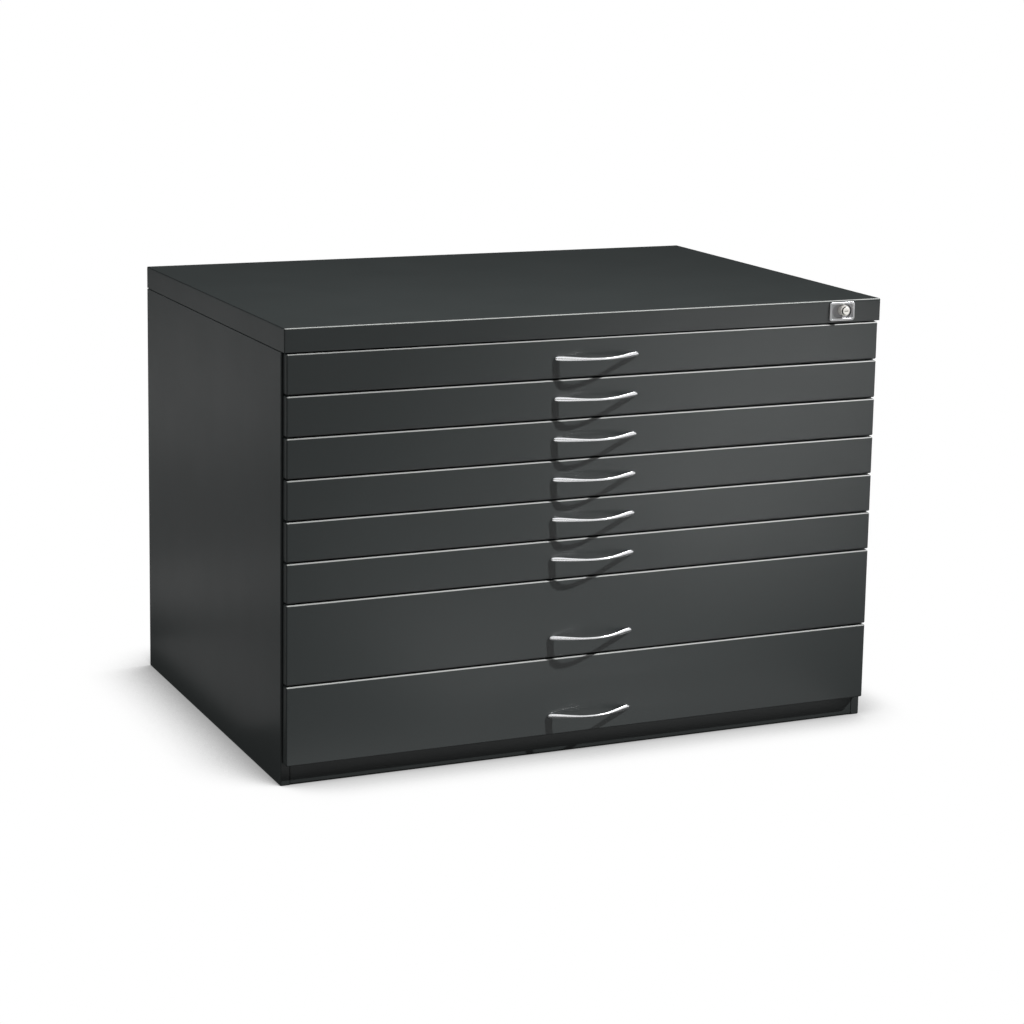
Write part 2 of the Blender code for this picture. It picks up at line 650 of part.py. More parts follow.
def handle():
    """Bow handle: oval rings along the arch, closed at the tips and cut flat where the
    feet meet the front."""
    work = bmesh.new()
    end = HANDLE_LENGTH / 2 - HANDLE_TIP_FLAT
    rings = []
    for index in range(HANDLE_RINGS):
        place = end * math.sin(math.radians(90) * (2 * index / (HANDLE_RINGS - 1) - 1))
        reach, height, depth = handle_section(abs(place))
        slope = (handle_arch(abs(place + HANDLE_TIP_FLAT)) - handle_arch(abs(place - HANDLE_TIP_FLAT)))
        slope *= HANDLE_PROJECTION / (2 * HANDLE_TIP_FLAT)
        outwards = Vector((-slope, -1, 0)).normalized()
        angles = [math.radians(360) * side / HANDLE_SIDES for side in range(HANDLE_SIDES)]
        rings.append([work.verts.new(Vector((place, -reach, HANDLE_RISE)) + outwards * depth * math.cos(angle)
                                     + Vector((0, 0, height * math.sin(angle)))) for angle in angles])
    for ring, following in zip(rings, rings[1:]):
        for side in range(HANDLE_SIDES):
            after = (side + 1) % HANDLE_SIDES
            work.faces.new((ring[side], ring[after], following[after], following[side]))
    work.faces.new(rings[0])
    work.faces.new(rings[-1])
    bmesh.ops.recalc_face_normals(work, faces=work.faces)
    span = HANDLE_LENGTH
    seat = block("seat", (-span, -TOUCH_GAP, HANDLE_RISE - span), (span, span, HANDLE_RISE + span))
    return fuse("handle", mesh_object("handle", work), removed=(seat,))


# Lock

def lock_body_half_size():
    """Half width and half height of the lock's body, which fills the cover's cut-out."""
    return (LOCK_PLATE_WIDTH / 2 - LOCK_FRAME_WIDTH + LOCK_BODY_WALL,
            LOCK_PLATE_HEIGHT / 2 - LOCK_FRAME_WIDTH + LOCK_BODY_WALL)


def lock_plate():
    """Escutcheon with a raised frame, a lower web and a bowl with round ends sunk into it;
    its body goes through the cover, and the barrel's housing stands behind that."""
    centre = (LOCK_X, LOCK_Z)
    frame = plate("lock_plate", rounded_rectangle(centre, LOCK_PLATE_WIDTH, LOCK_PLATE_HEIGHT,
                                                  LOCK_PLATE_CORNER, LOCK_CORNER_STEPS),
                  -LOCK_PLATE_PROUD, -TOUCH_GAP, "Y")
    half_width, half_height = lock_body_half_size()
    back = LOCK_BOWL_DEPTH + LOCK_BODY_FLOOR
    body = block("body", (LOCK_X - half_width, -TOUCH_GAP - WELD_LAP, LOCK_Z - half_height),
                 (LOCK_X + half_width, back, LOCK_Z + half_height))
    housing = rod("housing", (BARREL_X, LOCK_BOWL_DEPTH + WELD_LAP, BARREL_Z),
                  (BARREL_X, back + HOUSING_LENGTH, BARREL_Z), BARREL_RADIUS + BARREL_PLAY + HOUSING_WALL,
                  ROUND_STEPS)
    width, height = LOCK_PLATE_WIDTH - 2 * LOCK_FRAME_WIDTH, LOCK_PLATE_HEIGHT - 2 * LOCK_FRAME_WIDTH
    window = plate("window", rounded_rectangle(centre, width, height, LOCK_WINDOW_CORNER, LOCK_CORNER_STEPS),
                   -LOCK_PLATE_PROUD - CUT_OVERRUN, -LOCK_WEB_PROUD, "Y")
    bowl = plate("bowl", rounded_rectangle(centre, width - 2 * LOCK_BOWL_SIDE, height - 2 * LOCK_BOWL_EDGE,
                                           LOCK_BOWL_CORNER, BOWL_CORNER_STEPS),
                 -LOCK_PLATE_PROUD - CUT_OVERRUN, LOCK_BOWL_DEPTH, "Y")
    bore = rod("bore", (BARREL_X, LOCK_BOWL_DEPTH - CUT_OVERRUN, BARREL_Z),
               (BARREL_X, back + HOUSING_LENGTH + CUT_OVERRUN, BARREL_Z), BARREL_RADIUS + BARREL_PLAY, ROUND_STEPS)
    return fuse("lock_plate", frame, (body, housing), (window, bowl, bore))


def lock_barrel():
    """Push barrel on its own axis, drawn from the front plane back, with the bore for the plug."""
    body = rod("lock_barrel", (0, -BARREL_PROUD, 0), (0, BARREL_END, 0), BARREL_RADIUS, ROUND_STEPS)
    tail = rod("tail", (0, BARREL_END - WELD_LAP, 0), (0, BARREL_END + TAIL_LENGTH, 0), TAIL_RADIUS, ROUND_STEPS)
    bore = rod("plug_bore", (0, -BARREL_PROUD - CUT_OVERRUN, 0),
               (0, PLUG_LENGTH - BARREL_PROUD, 0), PLUG_RADIUS + PLUG_PLAY, ROUND_STEPS)
    return fuse("lock_barrel", body, (tail,), (bore,))


def lock_plug():
    """Turning plug with its keyhole."""
    front = -BARREL_PROUD - PLUG_PROUD
    body = rod("lock_plug", (0, front, 0), (0, PLUG_LENGTH - BARREL_PROUD - TOUCH_GAP, 0), PLUG_RADIUS, ROUND_STEPS)
    keyhole = block("keyhole", (-KEYHOLE_LENGTH / 2, front - CUT_OVERRUN, -KEYHOLE_WIDTH / 2),
                    (KEYHOLE_LENGTH / 2, front + KEYHOLE_DEPTH, KEYHOLE_WIDTH / 2))
    return fuse("lock_plug", body, removed=(keyhole,))


def lock_arm():
    """Arm on the barrel's tail; its pin runs in the locking bar's cam slot."""
    arm_end = BAR_INNER - BARREL_X - ARM_END_ROOM
    arm = block("lock_arm", (-BARREL_RADIUS, ARM_FRONT, -ARM_HEIGHT / 2),
                (arm_end, ARM_FRONT + ARM_THICKNESS, ARM_HEIGHT / 2))
    pin = rod("cam_pin", (arm_end - ARM_THICKNESS, CAM_Y, 0), (BAR_OUTER - BARREL_X + PEG_CLEARANCE, CAM_Y, 0),
              CAM_PIN_RADIUS, PEG_STEPS)
    boss = block("pin_boss", (arm_end - 2 * ARM_THICKNESS, ARM_FRONT - WELD_LAP, -CAM_PIN_RADIUS - WELD_LAP),
                 (arm_end - WELD_LAP, ARM_FRONT + ARM_THICKNESS + WELD_LAP, CAM_PIN_RADIUS + WELD_LAP))
    return fuse("lock_arm", arm, (boss, pin))


def cam_outline():
    """Slanted cam slot in side view: as the pin goes back, the bar has to rise."""
    radius = CAM_PIN_RADIUS + CAM_PLAY
    points = []
    for end, (back, up) in enumerate(((0, 0), (LOCK_TRAVEL, -LOCK_TRAVEL))):
        for step in range(PEG_STEPS // 2 + 1):
            angle = math.radians(45) + math.radians(180) * (step / (PEG_STEPS // 2) + end)
            points.append((CAM_Y + back + radius * math.cos(angle), BARREL_Z + up + radius * math.sin(angle)))
    return points


def lock_bar():
    """Locking bar with one peg for each drawer and the cam head at its top."""
    reach = CAM_PIN_RADIUS + CAM_PLAY + CAM_MARGIN
    head_low, head_high = BARREL_Z - LOCK_TRAVEL - reach, BARREL_Z + reach
    foot = front_bottom(len(DRAWER_UNITS)) + BAR_FOOT_ROOM
    outline = ((BAR_FRONT, foot), (BAR_BACK, foot), (BAR_BACK, head_low),
               (CAM_Y + LOCK_TRAVEL + reach, head_low), (CAM_Y + LOCK_TRAVEL + reach, head_high),
               (BAR_FRONT, head_high))
    bar = plate("lock_bar", outline, BAR_INNER, BAR_OUTER, "X")
    tip = HOOK_X - HOOK_THICKNESS / 2 - PEG_OVERREACH
    pegs = []
    for number in range(1, len(DRAWER_UNITS) + 1):
        height = front_bottom(number) + HOOK_RISE - PEG_CLEARANCE - PEG_RADIUS
        pegs.append(rod("peg", (tip, PEG_Y, height), (BAR_INNER + WELD_LAP, PEG_Y, height), PEG_RADIUS, PEG_STEPS))
    cam = plate("cam", cam_outline(), BAR_INNER - CUT_OVERRUN, BAR_OUTER + CUT_OVERRUN, "X")
    return fuse("lock_bar", bar, pegs, (cam,))


# Assembly

def build():
    """Makes the cabinet."""
    clear_scene()
    new_collection("flat_file_cabinet")
    new_collection("cutters")
    coated = coat("coated_steel", COATED_STEEL, 0.42, 0.0)
    front_coat = coat("front_coat", COATED_STEEL, 0.40, 0.0)
    tray_coat = coat("tray_coat", TRAY_STEEL, 0.45, 0.0)
    zinc = coat("zinc_steel", ZINC_STEEL, 0.35, 1.0)
    chrome = coat("handle_chrome", CHROME, 0.18, 1.0)
    lock_chrome = coat("lock_chrome", CHROME, 0.15, 1.0)
    lock_steel = coat("lock_steel", LOCK_STEEL, 0.25, 1.0)

    cabinet = add_carrier("cabinet", (0, FRONT_Y, 0), None)
    add_part("top_cover", top_cover(), coated, cabinet)
    add_part("side_panel_left", side_panel("side_panel_left", -1), coated, cabinet)
    add_part("side_panel_right", side_panel("side_panel_right", 1), coated, cabinet)
    add_part("back_panel", back_panel(), coated, cabinet)
    add_part("base_panel", base_panel(), coated, cabinet)
    add_part("plinth_front", plinth_front(), coated, cabinet)
    add_part("top_front_rail", top_front_rail(), coated, cabinet)
    add_part("slide_rack_left", slide_rack("slide_rack_left", -1), zinc, cabinet)
    add_part("slide_rack_right", slide_rack("slide_rack_right", 1), zinc, cabinet)

    add_part("lock_plate", lock_plate(), lock_chrome, cabinet)
    push = add_carrier("lock_push_axis", (BARREL_X, 0, BARREL_Z), cabinet)
    add_part("lock_barrel", lock_barrel(), lock_chrome, push)
    add_part("lock_arm", lock_arm(), zinc, push)
    add_part("lock_plug", lock_plug(), lock_steel, push)
    add_part("lock_bar", lock_bar(), zinc, cabinet)

    fronts = {units: drawer_front(units) for units in set(DRAWER_UNITS)}
    trays = {units: drawer_tray(units) for units in set(DRAWER_UNITS)}
    bow = handle()
    left_member = slide_middle("slide_middle_left", -1)
    right_member = slide_middle("slide_middle_right", 1)
    for number, units in enumerate(DRAWER_UNITS, start=1):
        place = (0, 0, front_bottom(number))
        drawer = add_carrier("drawer_%d_slide_axis" % number, place, cabinet)
        add_part("drawer_front_%d" % number, fronts[units], front_coat, drawer)
        add_part("drawer_tray_%d" % number, trays[units], tray_coat, drawer)
        add_part("handle_%d" % number, bow, chrome, drawer)
        slides = add_carrier("slides_%d_axis" % number, place, cabinet)
        add_part("slide_middle_left_%d" % number, left_member, zinc, slides)
        add_part("slide_middle_right_%d" % number, right_member, zinc, slides)


build()
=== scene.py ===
# %% [markdown]
# # A steel flat file cabinet, dressed for its portrait
# Large drawings are kept flat, so a plan chest is a low, deep steel box: a lid, two side
# panels, a plinth, and a stack of drawers on telescopic slides. The frame that is loaded
# here already holds every piece at its true size, with its joints. This script gives the
# pieces that the eye meets first their fine shapes and their finishes, and lights them.

# %% Load the frame
import math

import bmesh
import bpy
from mathutils import Matrix, Vector


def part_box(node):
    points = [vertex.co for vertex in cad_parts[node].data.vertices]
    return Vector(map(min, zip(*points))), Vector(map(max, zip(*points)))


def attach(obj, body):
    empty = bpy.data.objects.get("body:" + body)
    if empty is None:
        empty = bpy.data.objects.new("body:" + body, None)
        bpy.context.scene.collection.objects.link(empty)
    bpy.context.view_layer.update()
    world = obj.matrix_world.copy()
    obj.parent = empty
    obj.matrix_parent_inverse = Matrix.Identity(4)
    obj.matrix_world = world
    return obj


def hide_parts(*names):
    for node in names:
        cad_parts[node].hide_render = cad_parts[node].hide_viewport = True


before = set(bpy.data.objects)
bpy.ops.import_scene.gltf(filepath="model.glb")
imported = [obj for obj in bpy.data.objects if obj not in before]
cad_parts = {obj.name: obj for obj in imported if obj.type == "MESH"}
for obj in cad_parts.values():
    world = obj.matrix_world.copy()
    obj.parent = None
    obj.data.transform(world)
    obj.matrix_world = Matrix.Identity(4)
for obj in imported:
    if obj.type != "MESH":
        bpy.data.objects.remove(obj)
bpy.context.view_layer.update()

print("pieces in the frame:", len(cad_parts))

# %% [markdown]
# ## Where things are
# The frame is measured instead of typed in again. Two places guide the rest: the plane
# that all drawer fronts share, and the lock in the lid's rim. Y counts back from the
# viewer, so what stands in front of the drawers has a smaller Y.

# %% Measure the frame
DRAWERS = range(1, sum(name.startswith("drawer_front_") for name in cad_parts) + 1)
front_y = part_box("drawer_front_1")[0].y
lid_low, lid_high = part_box("top_cover")
lock_low, lock_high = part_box("lock_plate")
barrel_low, barrel_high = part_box("lock_barrel")
plug_low, plug_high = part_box("lock_plug")
print("drawers:", len(DRAWERS), " front plane at", round(front_y, 4))
print("lid is %.0f x %.0f mm" % (1000 * (lid_high.x - lid_low.x), 1000 * (lid_high.y - lid_low.y)))

# %% [markdown]
# ## The photographer's place
# The camera stands to the left and a little above, as it did for the product picture. It
# is a long lens from over four metres away, so the upright edges stay nearly parallel. A
# small shift of the lens takes in the cabinet without tipping the camera down further.

# %% Set up the camera
CAMERA_PLACE = Vector((-1.8930, front_y - 3.8500, 1.4094))
CAMERA_YAW = math.radians(24.307)
CAMERA_DIP = math.radians(10.325)
CAMERA_ROLL = math.radians(0.994)
LENS_MM = 91.676
LENS_SHIFT = -0.12

forward = Vector((math.sin(CAMERA_YAW) * math.cos(CAMERA_DIP),
                  math.cos(CAMERA_YAW) * math.cos(CAMERA_DIP), -math.sin(CAMERA_DIP)))
level = Vector((math.cos(CAMERA_YAW), -math.sin(CAMERA_YAW), 0))
rise = level.cross(forward)
right = level * math.cos(CAMERA_ROLL) + rise * math.sin(CAMERA_ROLL)
up = rise * math.cos(CAMERA_ROLL) - level * math.sin(CAMERA_ROLL)

bpy.ops.object.camera_add()
camera = bpy.context.active_object
camera_axes = Matrix((right, up, -forward)).transposed().to_4x4()
camera.matrix_world = Matrix.Translation(CAMERA_PLACE) @ camera_axes
camera.data.lens = LENS_MM
camera.data.shift_y = LENS_SHIFT
bpy.context.scene.camera = camera
print("camera is %.2f m from the cabinet's front" % (CAMERA_PLACE - Vector((0, front_y, 0))).length)

# %% [markdown]
# ## The white floor
# A product picture is taken on white paper that is lit until it burns out, and only the
# soft shadow right beside the object is left. The floor here does the same: to the camera
# it is white, dimmed where the cabinet hides it from the light. The measure for that is
# ambient occlusion, leaned towards the side that the light comes from, so the shadow is
# wide at the left. A second, short one leans the other way and gives the thin shadow in
# front and at the right. A third one makes the hidden floor under the cabinet black. What
# the paint mirrors is a dark floor, like the black cards that a photographer hides.

# %% Mix the white paper
SHADOW_REACH = 0.20
SHADOW_LEAN = (0.42, -0.62, 0.66)
SHADOW_RANGE = (0.24, 0.86)
SHADOW_DEPTH = 0.33
CONTACT_REACH = 0.13
CONTACT_LEAN = (-0.35, -0.10, 0.93)
CONTACT_RANGE = (0.42, 0.97)
CONTACT_DEPTH = 0.60
UNDER_LEAN = (0.0, 0.0, 1.0)
UNDER_RANGE = (0.05, 0.35)
UNDER_DEPTH = 0.0
SHADOW_SAMPLES = 16
FLOOR_TO_PAINT = (0.08, 0.08, 0.08, 1.0)


def add_node(tree, kind, **values):
    """A shader node with its settings; a value named like an input is set there."""
    node = tree.nodes.new(kind)
    for name, value in values.items():
        if name in node.inputs:
            node.inputs[name].default_value = value
        else:
            setattr(node, name, value)
    return node


def soft_shadow(tree, reach, lean, shade_range, depth):
    """Shadow factor from ambient occlusion within reach, remapped from its range to depth..1."""
    axis = add_node(tree, "ShaderNodeCombineXYZ", X=lean[0], Y=lean[1], Z=lean[2])
    light = add_node(tree, "ShaderNodeAmbientOcclusion", Distance=reach, samples=SHADOW_SAMPLES)
    shade = add_node(tree, "ShaderNodeMapRange", interpolation_type="SMOOTHERSTEP")
    shade.inputs["From Min"].default_value, shade.inputs["From Max"].default_value = shade_range
    shade.inputs["To Min"].default_value = depth
    tree.links.new(axis.outputs["Vector"], light.inputs["Normal"])
    tree.links.new(light.outputs["AO"], shade.inputs["Value"])
    return shade.outputs["Result"]


def floor_paper():
    """White paper with soft shadows for the camera, and a dark floor for all else."""
    material = bpy.data.materials.new("studio_paper")
    material.use_nodes = True
    tree = material.node_tree
    tree.nodes.clear()
    wide = soft_shadow(tree, SHADOW_REACH, SHADOW_LEAN, SHADOW_RANGE, SHADOW_DEPTH)
    close = soft_shadow(tree, CONTACT_REACH, CONTACT_LEAN, CONTACT_RANGE, CONTACT_DEPTH)
    under = soft_shadow(tree, CONTACT_REACH, UNDER_LEAN, UNDER_RANGE, UNDER_DEPTH)
    sides = add_node(tree, "ShaderNodeMath", operation="MULTIPLY")
    depth = add_node(tree, "ShaderNodeMath", operation="MULTIPLY")
    white = add_node(tree, "ShaderNodeEmission", Color=(1, 1, 1, 1))
    dark = add_node(tree, "ShaderNodeBsdfDiffuse", Color=FLOOR_TO_PAINT)
    rays = add_node(tree, "ShaderNodeLightPath")
    both = add_node(tree, "ShaderNodeMixShader")
    out = add_node(tree, "ShaderNodeOutputMaterial")
    tree.links.new(wide, sides.inputs[0])
    tree.links.new(close, sides.inputs[1])
    tree.links.new(sides.outputs["Value"], depth.inputs[0])
    tree.links.new(under, depth.inputs[1])
    tree.links.new(depth.outputs["Value"], white.inputs["Strength"])
    tree.links.new(rays.outputs["Is Camera Ray"], both.inputs["Fac"])
    tree.links.new(dark.outputs["BSDF"], both.inputs[1])
    tree.links.new(white.outputs["Emission"], both.inputs[2])
    tree.links.new(both.outputs["Shader"], out.inputs["Surface"])
    return material


paper = floor_paper()
print("floor's finish:", paper.name)

# %% [markdown]
# The floor is one large plane. An operator acts on all that is selected, and loading the
# frame leaves its pieces selected, so the selection is dropped before every new piece.

# %% Lay the floor
FLOOR_SIZE = 14.0


def deselect_all():
    """Leaves edit mode and drops the selection."""
    if bpy.context.mode != "OBJECT":
        bpy.ops.object.mode_set(mode="OBJECT")
    bpy.ops.object.select_all(action="DESELECT")


deselect_all()
bpy.ops.mesh.primitive_plane_add(size=FLOOR_SIZE, location=(0, 0, 0))
floor = bpy.context.active_object
floor.name = "studio_floor"
floor.data.materials.append(paper)
print("floor is %.0f m wide" % FLOOR_SIZE)

# %% [markdown]
# ## Lights
# One hard lamp from the upper right draws the crisp shadows of the handles. A narrow spot
# from the same direction shines on the middle of the fronts alone and makes those shadows
# deeper, while the lid stays as dark as it should be. Everything else is soft. Dark paint
# shows little colour of its own, so most of what the eye reads on it is the blurred
# reflection of the soft boxes. A low one in front on the right gives the glow in the upper
# fronts, and one behind on the left gives the side its light patch. The lower half of the
# cabinet mirrors the floor, so bright cards lie there and carry the glow down. Low strips
# and cards are weak, because they stand so near. The big boxes at the left and behind only
# fill, and aren't mirrored, or they would flare in the lid from the side.
#
# The chrome is lit apart. Bright metal shows its surroundings as they are, so it wants a
# white tent: a roof, walls in front and at both sides, a white floor, and a dark gap at the
# height of the camera that draws the fine line along each handle. In a studio that would be
# a second exposure. Here the tent shines on the chrome alone, and the soft boxes leave it
# out. Places and aims count in metres from the middle of the fronts' plane, on the floor.

# %% List the lamps
KEY_DIRECTION = Vector((0.66, -0.35, 0.67))
KEY_STRENGTH = 4.0
KEY_ANGLE = math.radians(1.0)
SPOT_AIM = (0.02, 0.0, 0.42)
SPOT_DISTANCE = 12.0
SPOT_WATTS = 2700.0
SPOT_CONE = math.radians(5.2)
SPOT_RADIUS = 0.10
SPOT_BLEND = 1.0
CARD_HEIGHT = 0.004
SOFT_BOXES = {
    "front_glow": {"place": (1.50, -1.95, 0.30), "aim": (0.35, 0.0, 0.65),
                   "size": (0.6, 0.35), "watts": 3.5},
    "strip_box": {"place": (0.0, 0.03, 1.45), "aim": (0.0, 0.03, 0.0),
                  "size": (1.3, 0.10), "watts": 4.4},
    "left_box": {"place": (-3.8, -1.0, 1.0), "aim": (-0.55, 0.3, 0.4),
                 "size": (1.5, 1.5), "watts": 22.0, "mirrored": False},
    "rear_left_box": {"place": (-3.6, 0.8, 1.3), "aim": (-0.55, 0.4, 0.4),
                      "size": (1.0, 0.8), "watts": 15.0, "mirrored": False},
    "side_box": {"place": (-1.80, 0.60, 1.30), "aim": (-0.55, 0.45, 0.65),
                 "size": (0.5, 0.5), "watts": 3.5},
    "side_glow": {"place": (-1.22, 2.07, 0.35), "aim": (-0.55, 0.3, 0.65),
                  "size": (0.5, 0.5), "watts": 0.22},
    "back_box": {"place": (-0.6, 4.4, 1.0), "aim": (0.0, 0.8, 0.4),
                 "size": (1.4, 1.0), "watts": 75.0, "mirrored": False},
}
FLOOR_CARDS = {
    "toe_card": {"place": (0.0, -0.10), "size": (1.1, 0.14), "watts": 0.20},
    "near_card": {"place": (0.30, -0.35), "size": (0.5, 0.4), "watts": 0.22},
    "left_card": {"place": (0.10, -0.60), "size": (0.5, 0.6), "watts": 1.00},
    "far_card": {"place": (0.95, -1.35), "size": (0.5, 0.5), "watts": 4.3},
    "foot_card": {"place": (-0.74, 0.62), "size": (0.28, 0.6), "watts": 0.10},
    "side_card": {"place": (-0.95, 1.25), "size": (0.5, 0.5), "watts": 0.20},
    "rear_card": {"place": (-1.10, 1.95), "size": (0.5, 0.6), "watts": 0.07},
}
TENT = {
    "tent_wall": {"place": (0.6, -4.0, 2.6), "aim": (0.0, 0.0, 0.6),
                  "size": (8.0, 3.8), "watts": 88.0},
    "tent_roof": {"place": (0.0, -0.6, 2.6), "aim": (0.0, -0.5, 0.0),
                  "size": (5.0, 2.6), "watts": 34.0},
    "tent_side": {"place": (3.6, -1.2, 1.2), "aim": (0.0, 0.0, 0.5),
                  "size": (3.4, 2.8), "watts": 27.0},
    "tent_left": {"place": (-2.8, -1.4, 2.3), "aim": (0.2, 0.0, 0.7),
                  "size": (2.0, 1.4), "watts": 8.0},
    "tent_floor": {"place": (0.2, -1.45, CARD_HEIGHT), "aim": (0.2, -1.45, 1.0),
                   "size": (3.6, 2.3), "watts": 22.0},
}
print("soft boxes:", len(SOFT_BOXES), " cards:", len(FLOOR_CARDS), " tent:", len(TENT))

# %% [markdown]
# A lamp shines along its own -Z, so its direction is turned into a rotation. The lamps are
# hidden from the camera, which would otherwise see them stand in the white room.

# %% Hang the lamps
def aim_lamp(lamp, direction):
    """Turns a lamp so that it shines along a direction."""
    lamp.rotation_euler = direction.to_track_quat("-Z", "Y").to_euler()


def soft_box(name, place, aim, size, watts, mirrored=True):
    """Rectangular lamp hidden from the camera; places count from the fronts' plane."""
    base = Vector((0, front_y, 0))
    bpy.ops.object.light_add(type="AREA", location=base + Vector(place))
    lamp = bpy.context.active_object
    lamp.name = name
    lamp.data.shape = "RECTANGLE"
    lamp.data.size, lamp.data.size_y = size
    lamp.data.energy = watts
    lamp.visible_camera = False
    lamp.visible_glossy = mirrored
    aim_lamp(lamp, Vector(aim) - Vector(place))
    return lamp


deselect_all()
bpy.ops.object.light_add(type="SUN")
key = bpy.context.active_object
key.name = "key_lamp"
key.data.energy = KEY_STRENGTH
key.data.angle = KEY_ANGLE
aim_lamp(key, -KEY_DIRECTION)
spot_place = Vector((0, front_y, 0)) + Vector(SPOT_AIM) + SPOT_DISTANCE * KEY_DIRECTION.normalized()
bpy.ops.object.light_add(type="SPOT", location=spot_place)
spot = bpy.context.active_object
spot.name = "front_spot"
spot.data.energy = SPOT_WATTS
spot.data.spot_size = SPOT_CONE
spot.data.spot_blend = SPOT_BLEND
spot.data.shadow_soft_size = SPOT_RADIUS
aim_lamp(spot, -KEY_DIRECTION)
paint_lamps = [soft_box(name, **box) for name, box in SOFT_BOXES.items()]
for name, card in FLOOR_CARDS.items():
    x, y = card["place"]
    paint_lamps.append(soft_box(name, (x, y, CARD_HEIGHT), (x, y, 1.0), card["size"], card["watts"]))
tent_lamps = [soft_box(name, **box) for name, box in TENT.items()]
print("lamps:", len([key, spot] + paint_lamps + tent_lamps))

# %% [markdown]
# The room is white to the camera. To the cabinet it is a dim ceiling that fades out
# towards the horizon, because a bright horizon would mirror in the lid and wash it out.

# %% Paint the room
CEILING_FADE = (0.35, 0.85)
CEILING_BRIGHTNESS = 0.12


def room():
    """World with a white view and a soft ceiling."""
    world = bpy.data.worlds.new("studio")
    world.use_nodes = True
    tree = world.node_tree
    back = tree.nodes["Background"]
    back.inputs["Color"].default_value = (1, 1, 1, 1)
    place = add_node(tree, "ShaderNodeTexCoord")
    height = add_node(tree, "ShaderNodeSeparateXYZ")
    ceiling = add_node(tree, "ShaderNodeMapRange", interpolation_type="SMOOTHSTEP")
    ceiling.inputs["From Min"].default_value, ceiling.inputs["From Max"].default_value = CEILING_FADE
    ceiling.inputs["To Max"].default_value = CEILING_BRIGHTNESS
    rays = add_node(tree, "ShaderNodeLightPath")
    strength = add_node(tree, "ShaderNodeMix", data_type="FLOAT")
    strength.inputs["B"].default_value = 1.0
    tree.links.new(place.outputs["Generated"], height.inputs["Vector"])
    tree.links.new(height.outputs["Z"], ceiling.inputs["Value"])
    tree.links.new(ceiling.outputs["Result"], strength.inputs["A"])
    tree.links.new(rays.outputs["Is Camera Ray"], strength.inputs["Factor"])
    tree.links.new(strength.outputs["Result"], back.inputs["Strength"])
    return world


bpy.context.scene.world = room()
bpy.context.scene.view_settings.view_transform = "Standard"

# %% [markdown]
# ## Finishes
# Powder coat is plastic dust that is melted onto the steel. The upper front folds get a
# paler colour, a painted highlight for the bright line that the key lamp draws along
# each bend. The surface's normal finds these folds: on them it leans halfway between up
# and front. A line painted on a texture would be the other way, but this one follows the
# bend by itself.

# %% Find the folds for the painted highlight
# painted highlight: the paler colour that the upper front folds get
FOLD_HIGHLIGHT_COLOR = (0.34, 0.35, 0.34, 1.0)
FOLD_LEAN = (0.0, -0.7071, 0.7071)
FOLD_RANGE = (0.80, 0.93)


def fold_highlight_mask(tree):
    """Mask that is 1 on the folds between a top and a front, where the highlight is painted."""
    surface = add_node(tree, "ShaderNodeNewGeometry")
    lean = add_node(tree, "ShaderNodeVectorMath", operation="DOT_PRODUCT")
    lean.inputs[1].default_value = FOLD_LEAN
    mask = add_node(tree, "ShaderNodeMapRange", interpolation_type="SMOOTHSTEP")
    mask.inputs["From Min"].default_value, mask.inputs["From Max"].default_value = FOLD_RANGE
    tree.links.new(surface.outputs["Normal"], lean.inputs[0])
    tree.links.new(lean.outputs["Value"], mask.inputs["Value"])
    return mask.outputs["Result"]


print("folds lean along", FOLD_LEAN)

# %% [markdown]
# The coat flows out almost smooth and leaves a faint orange peel, a millimetre or two from
# crest to crest. That ripple, and not the colour, is what softens the reflections, so it is
# made as a bump from noise. Colour and gloss drift a little over a large sheet as well. All
# patterns read Object coordinates, which are metres here, so their scales are counts per
# metre.

# %% Powder coat
COAT_COLOR = (0.036, 0.041, 0.041)
COAT_ROUGHNESS = 0.36
TRAY_COLOR = (0.045, 0.050, 0.050)
TRAY_ROUGHNESS = 0.45
PEEL_SCALE = 620.0
PEEL_STRENGTH = 0.05
PEEL_HEIGHT = 0.0002
DRIFT_SCALE = 2.2
DRIFT_SHADES = (0.93, 1.07)
GLOSS_SCALE = 9.0
GLOSS_DRIFT = 0.03


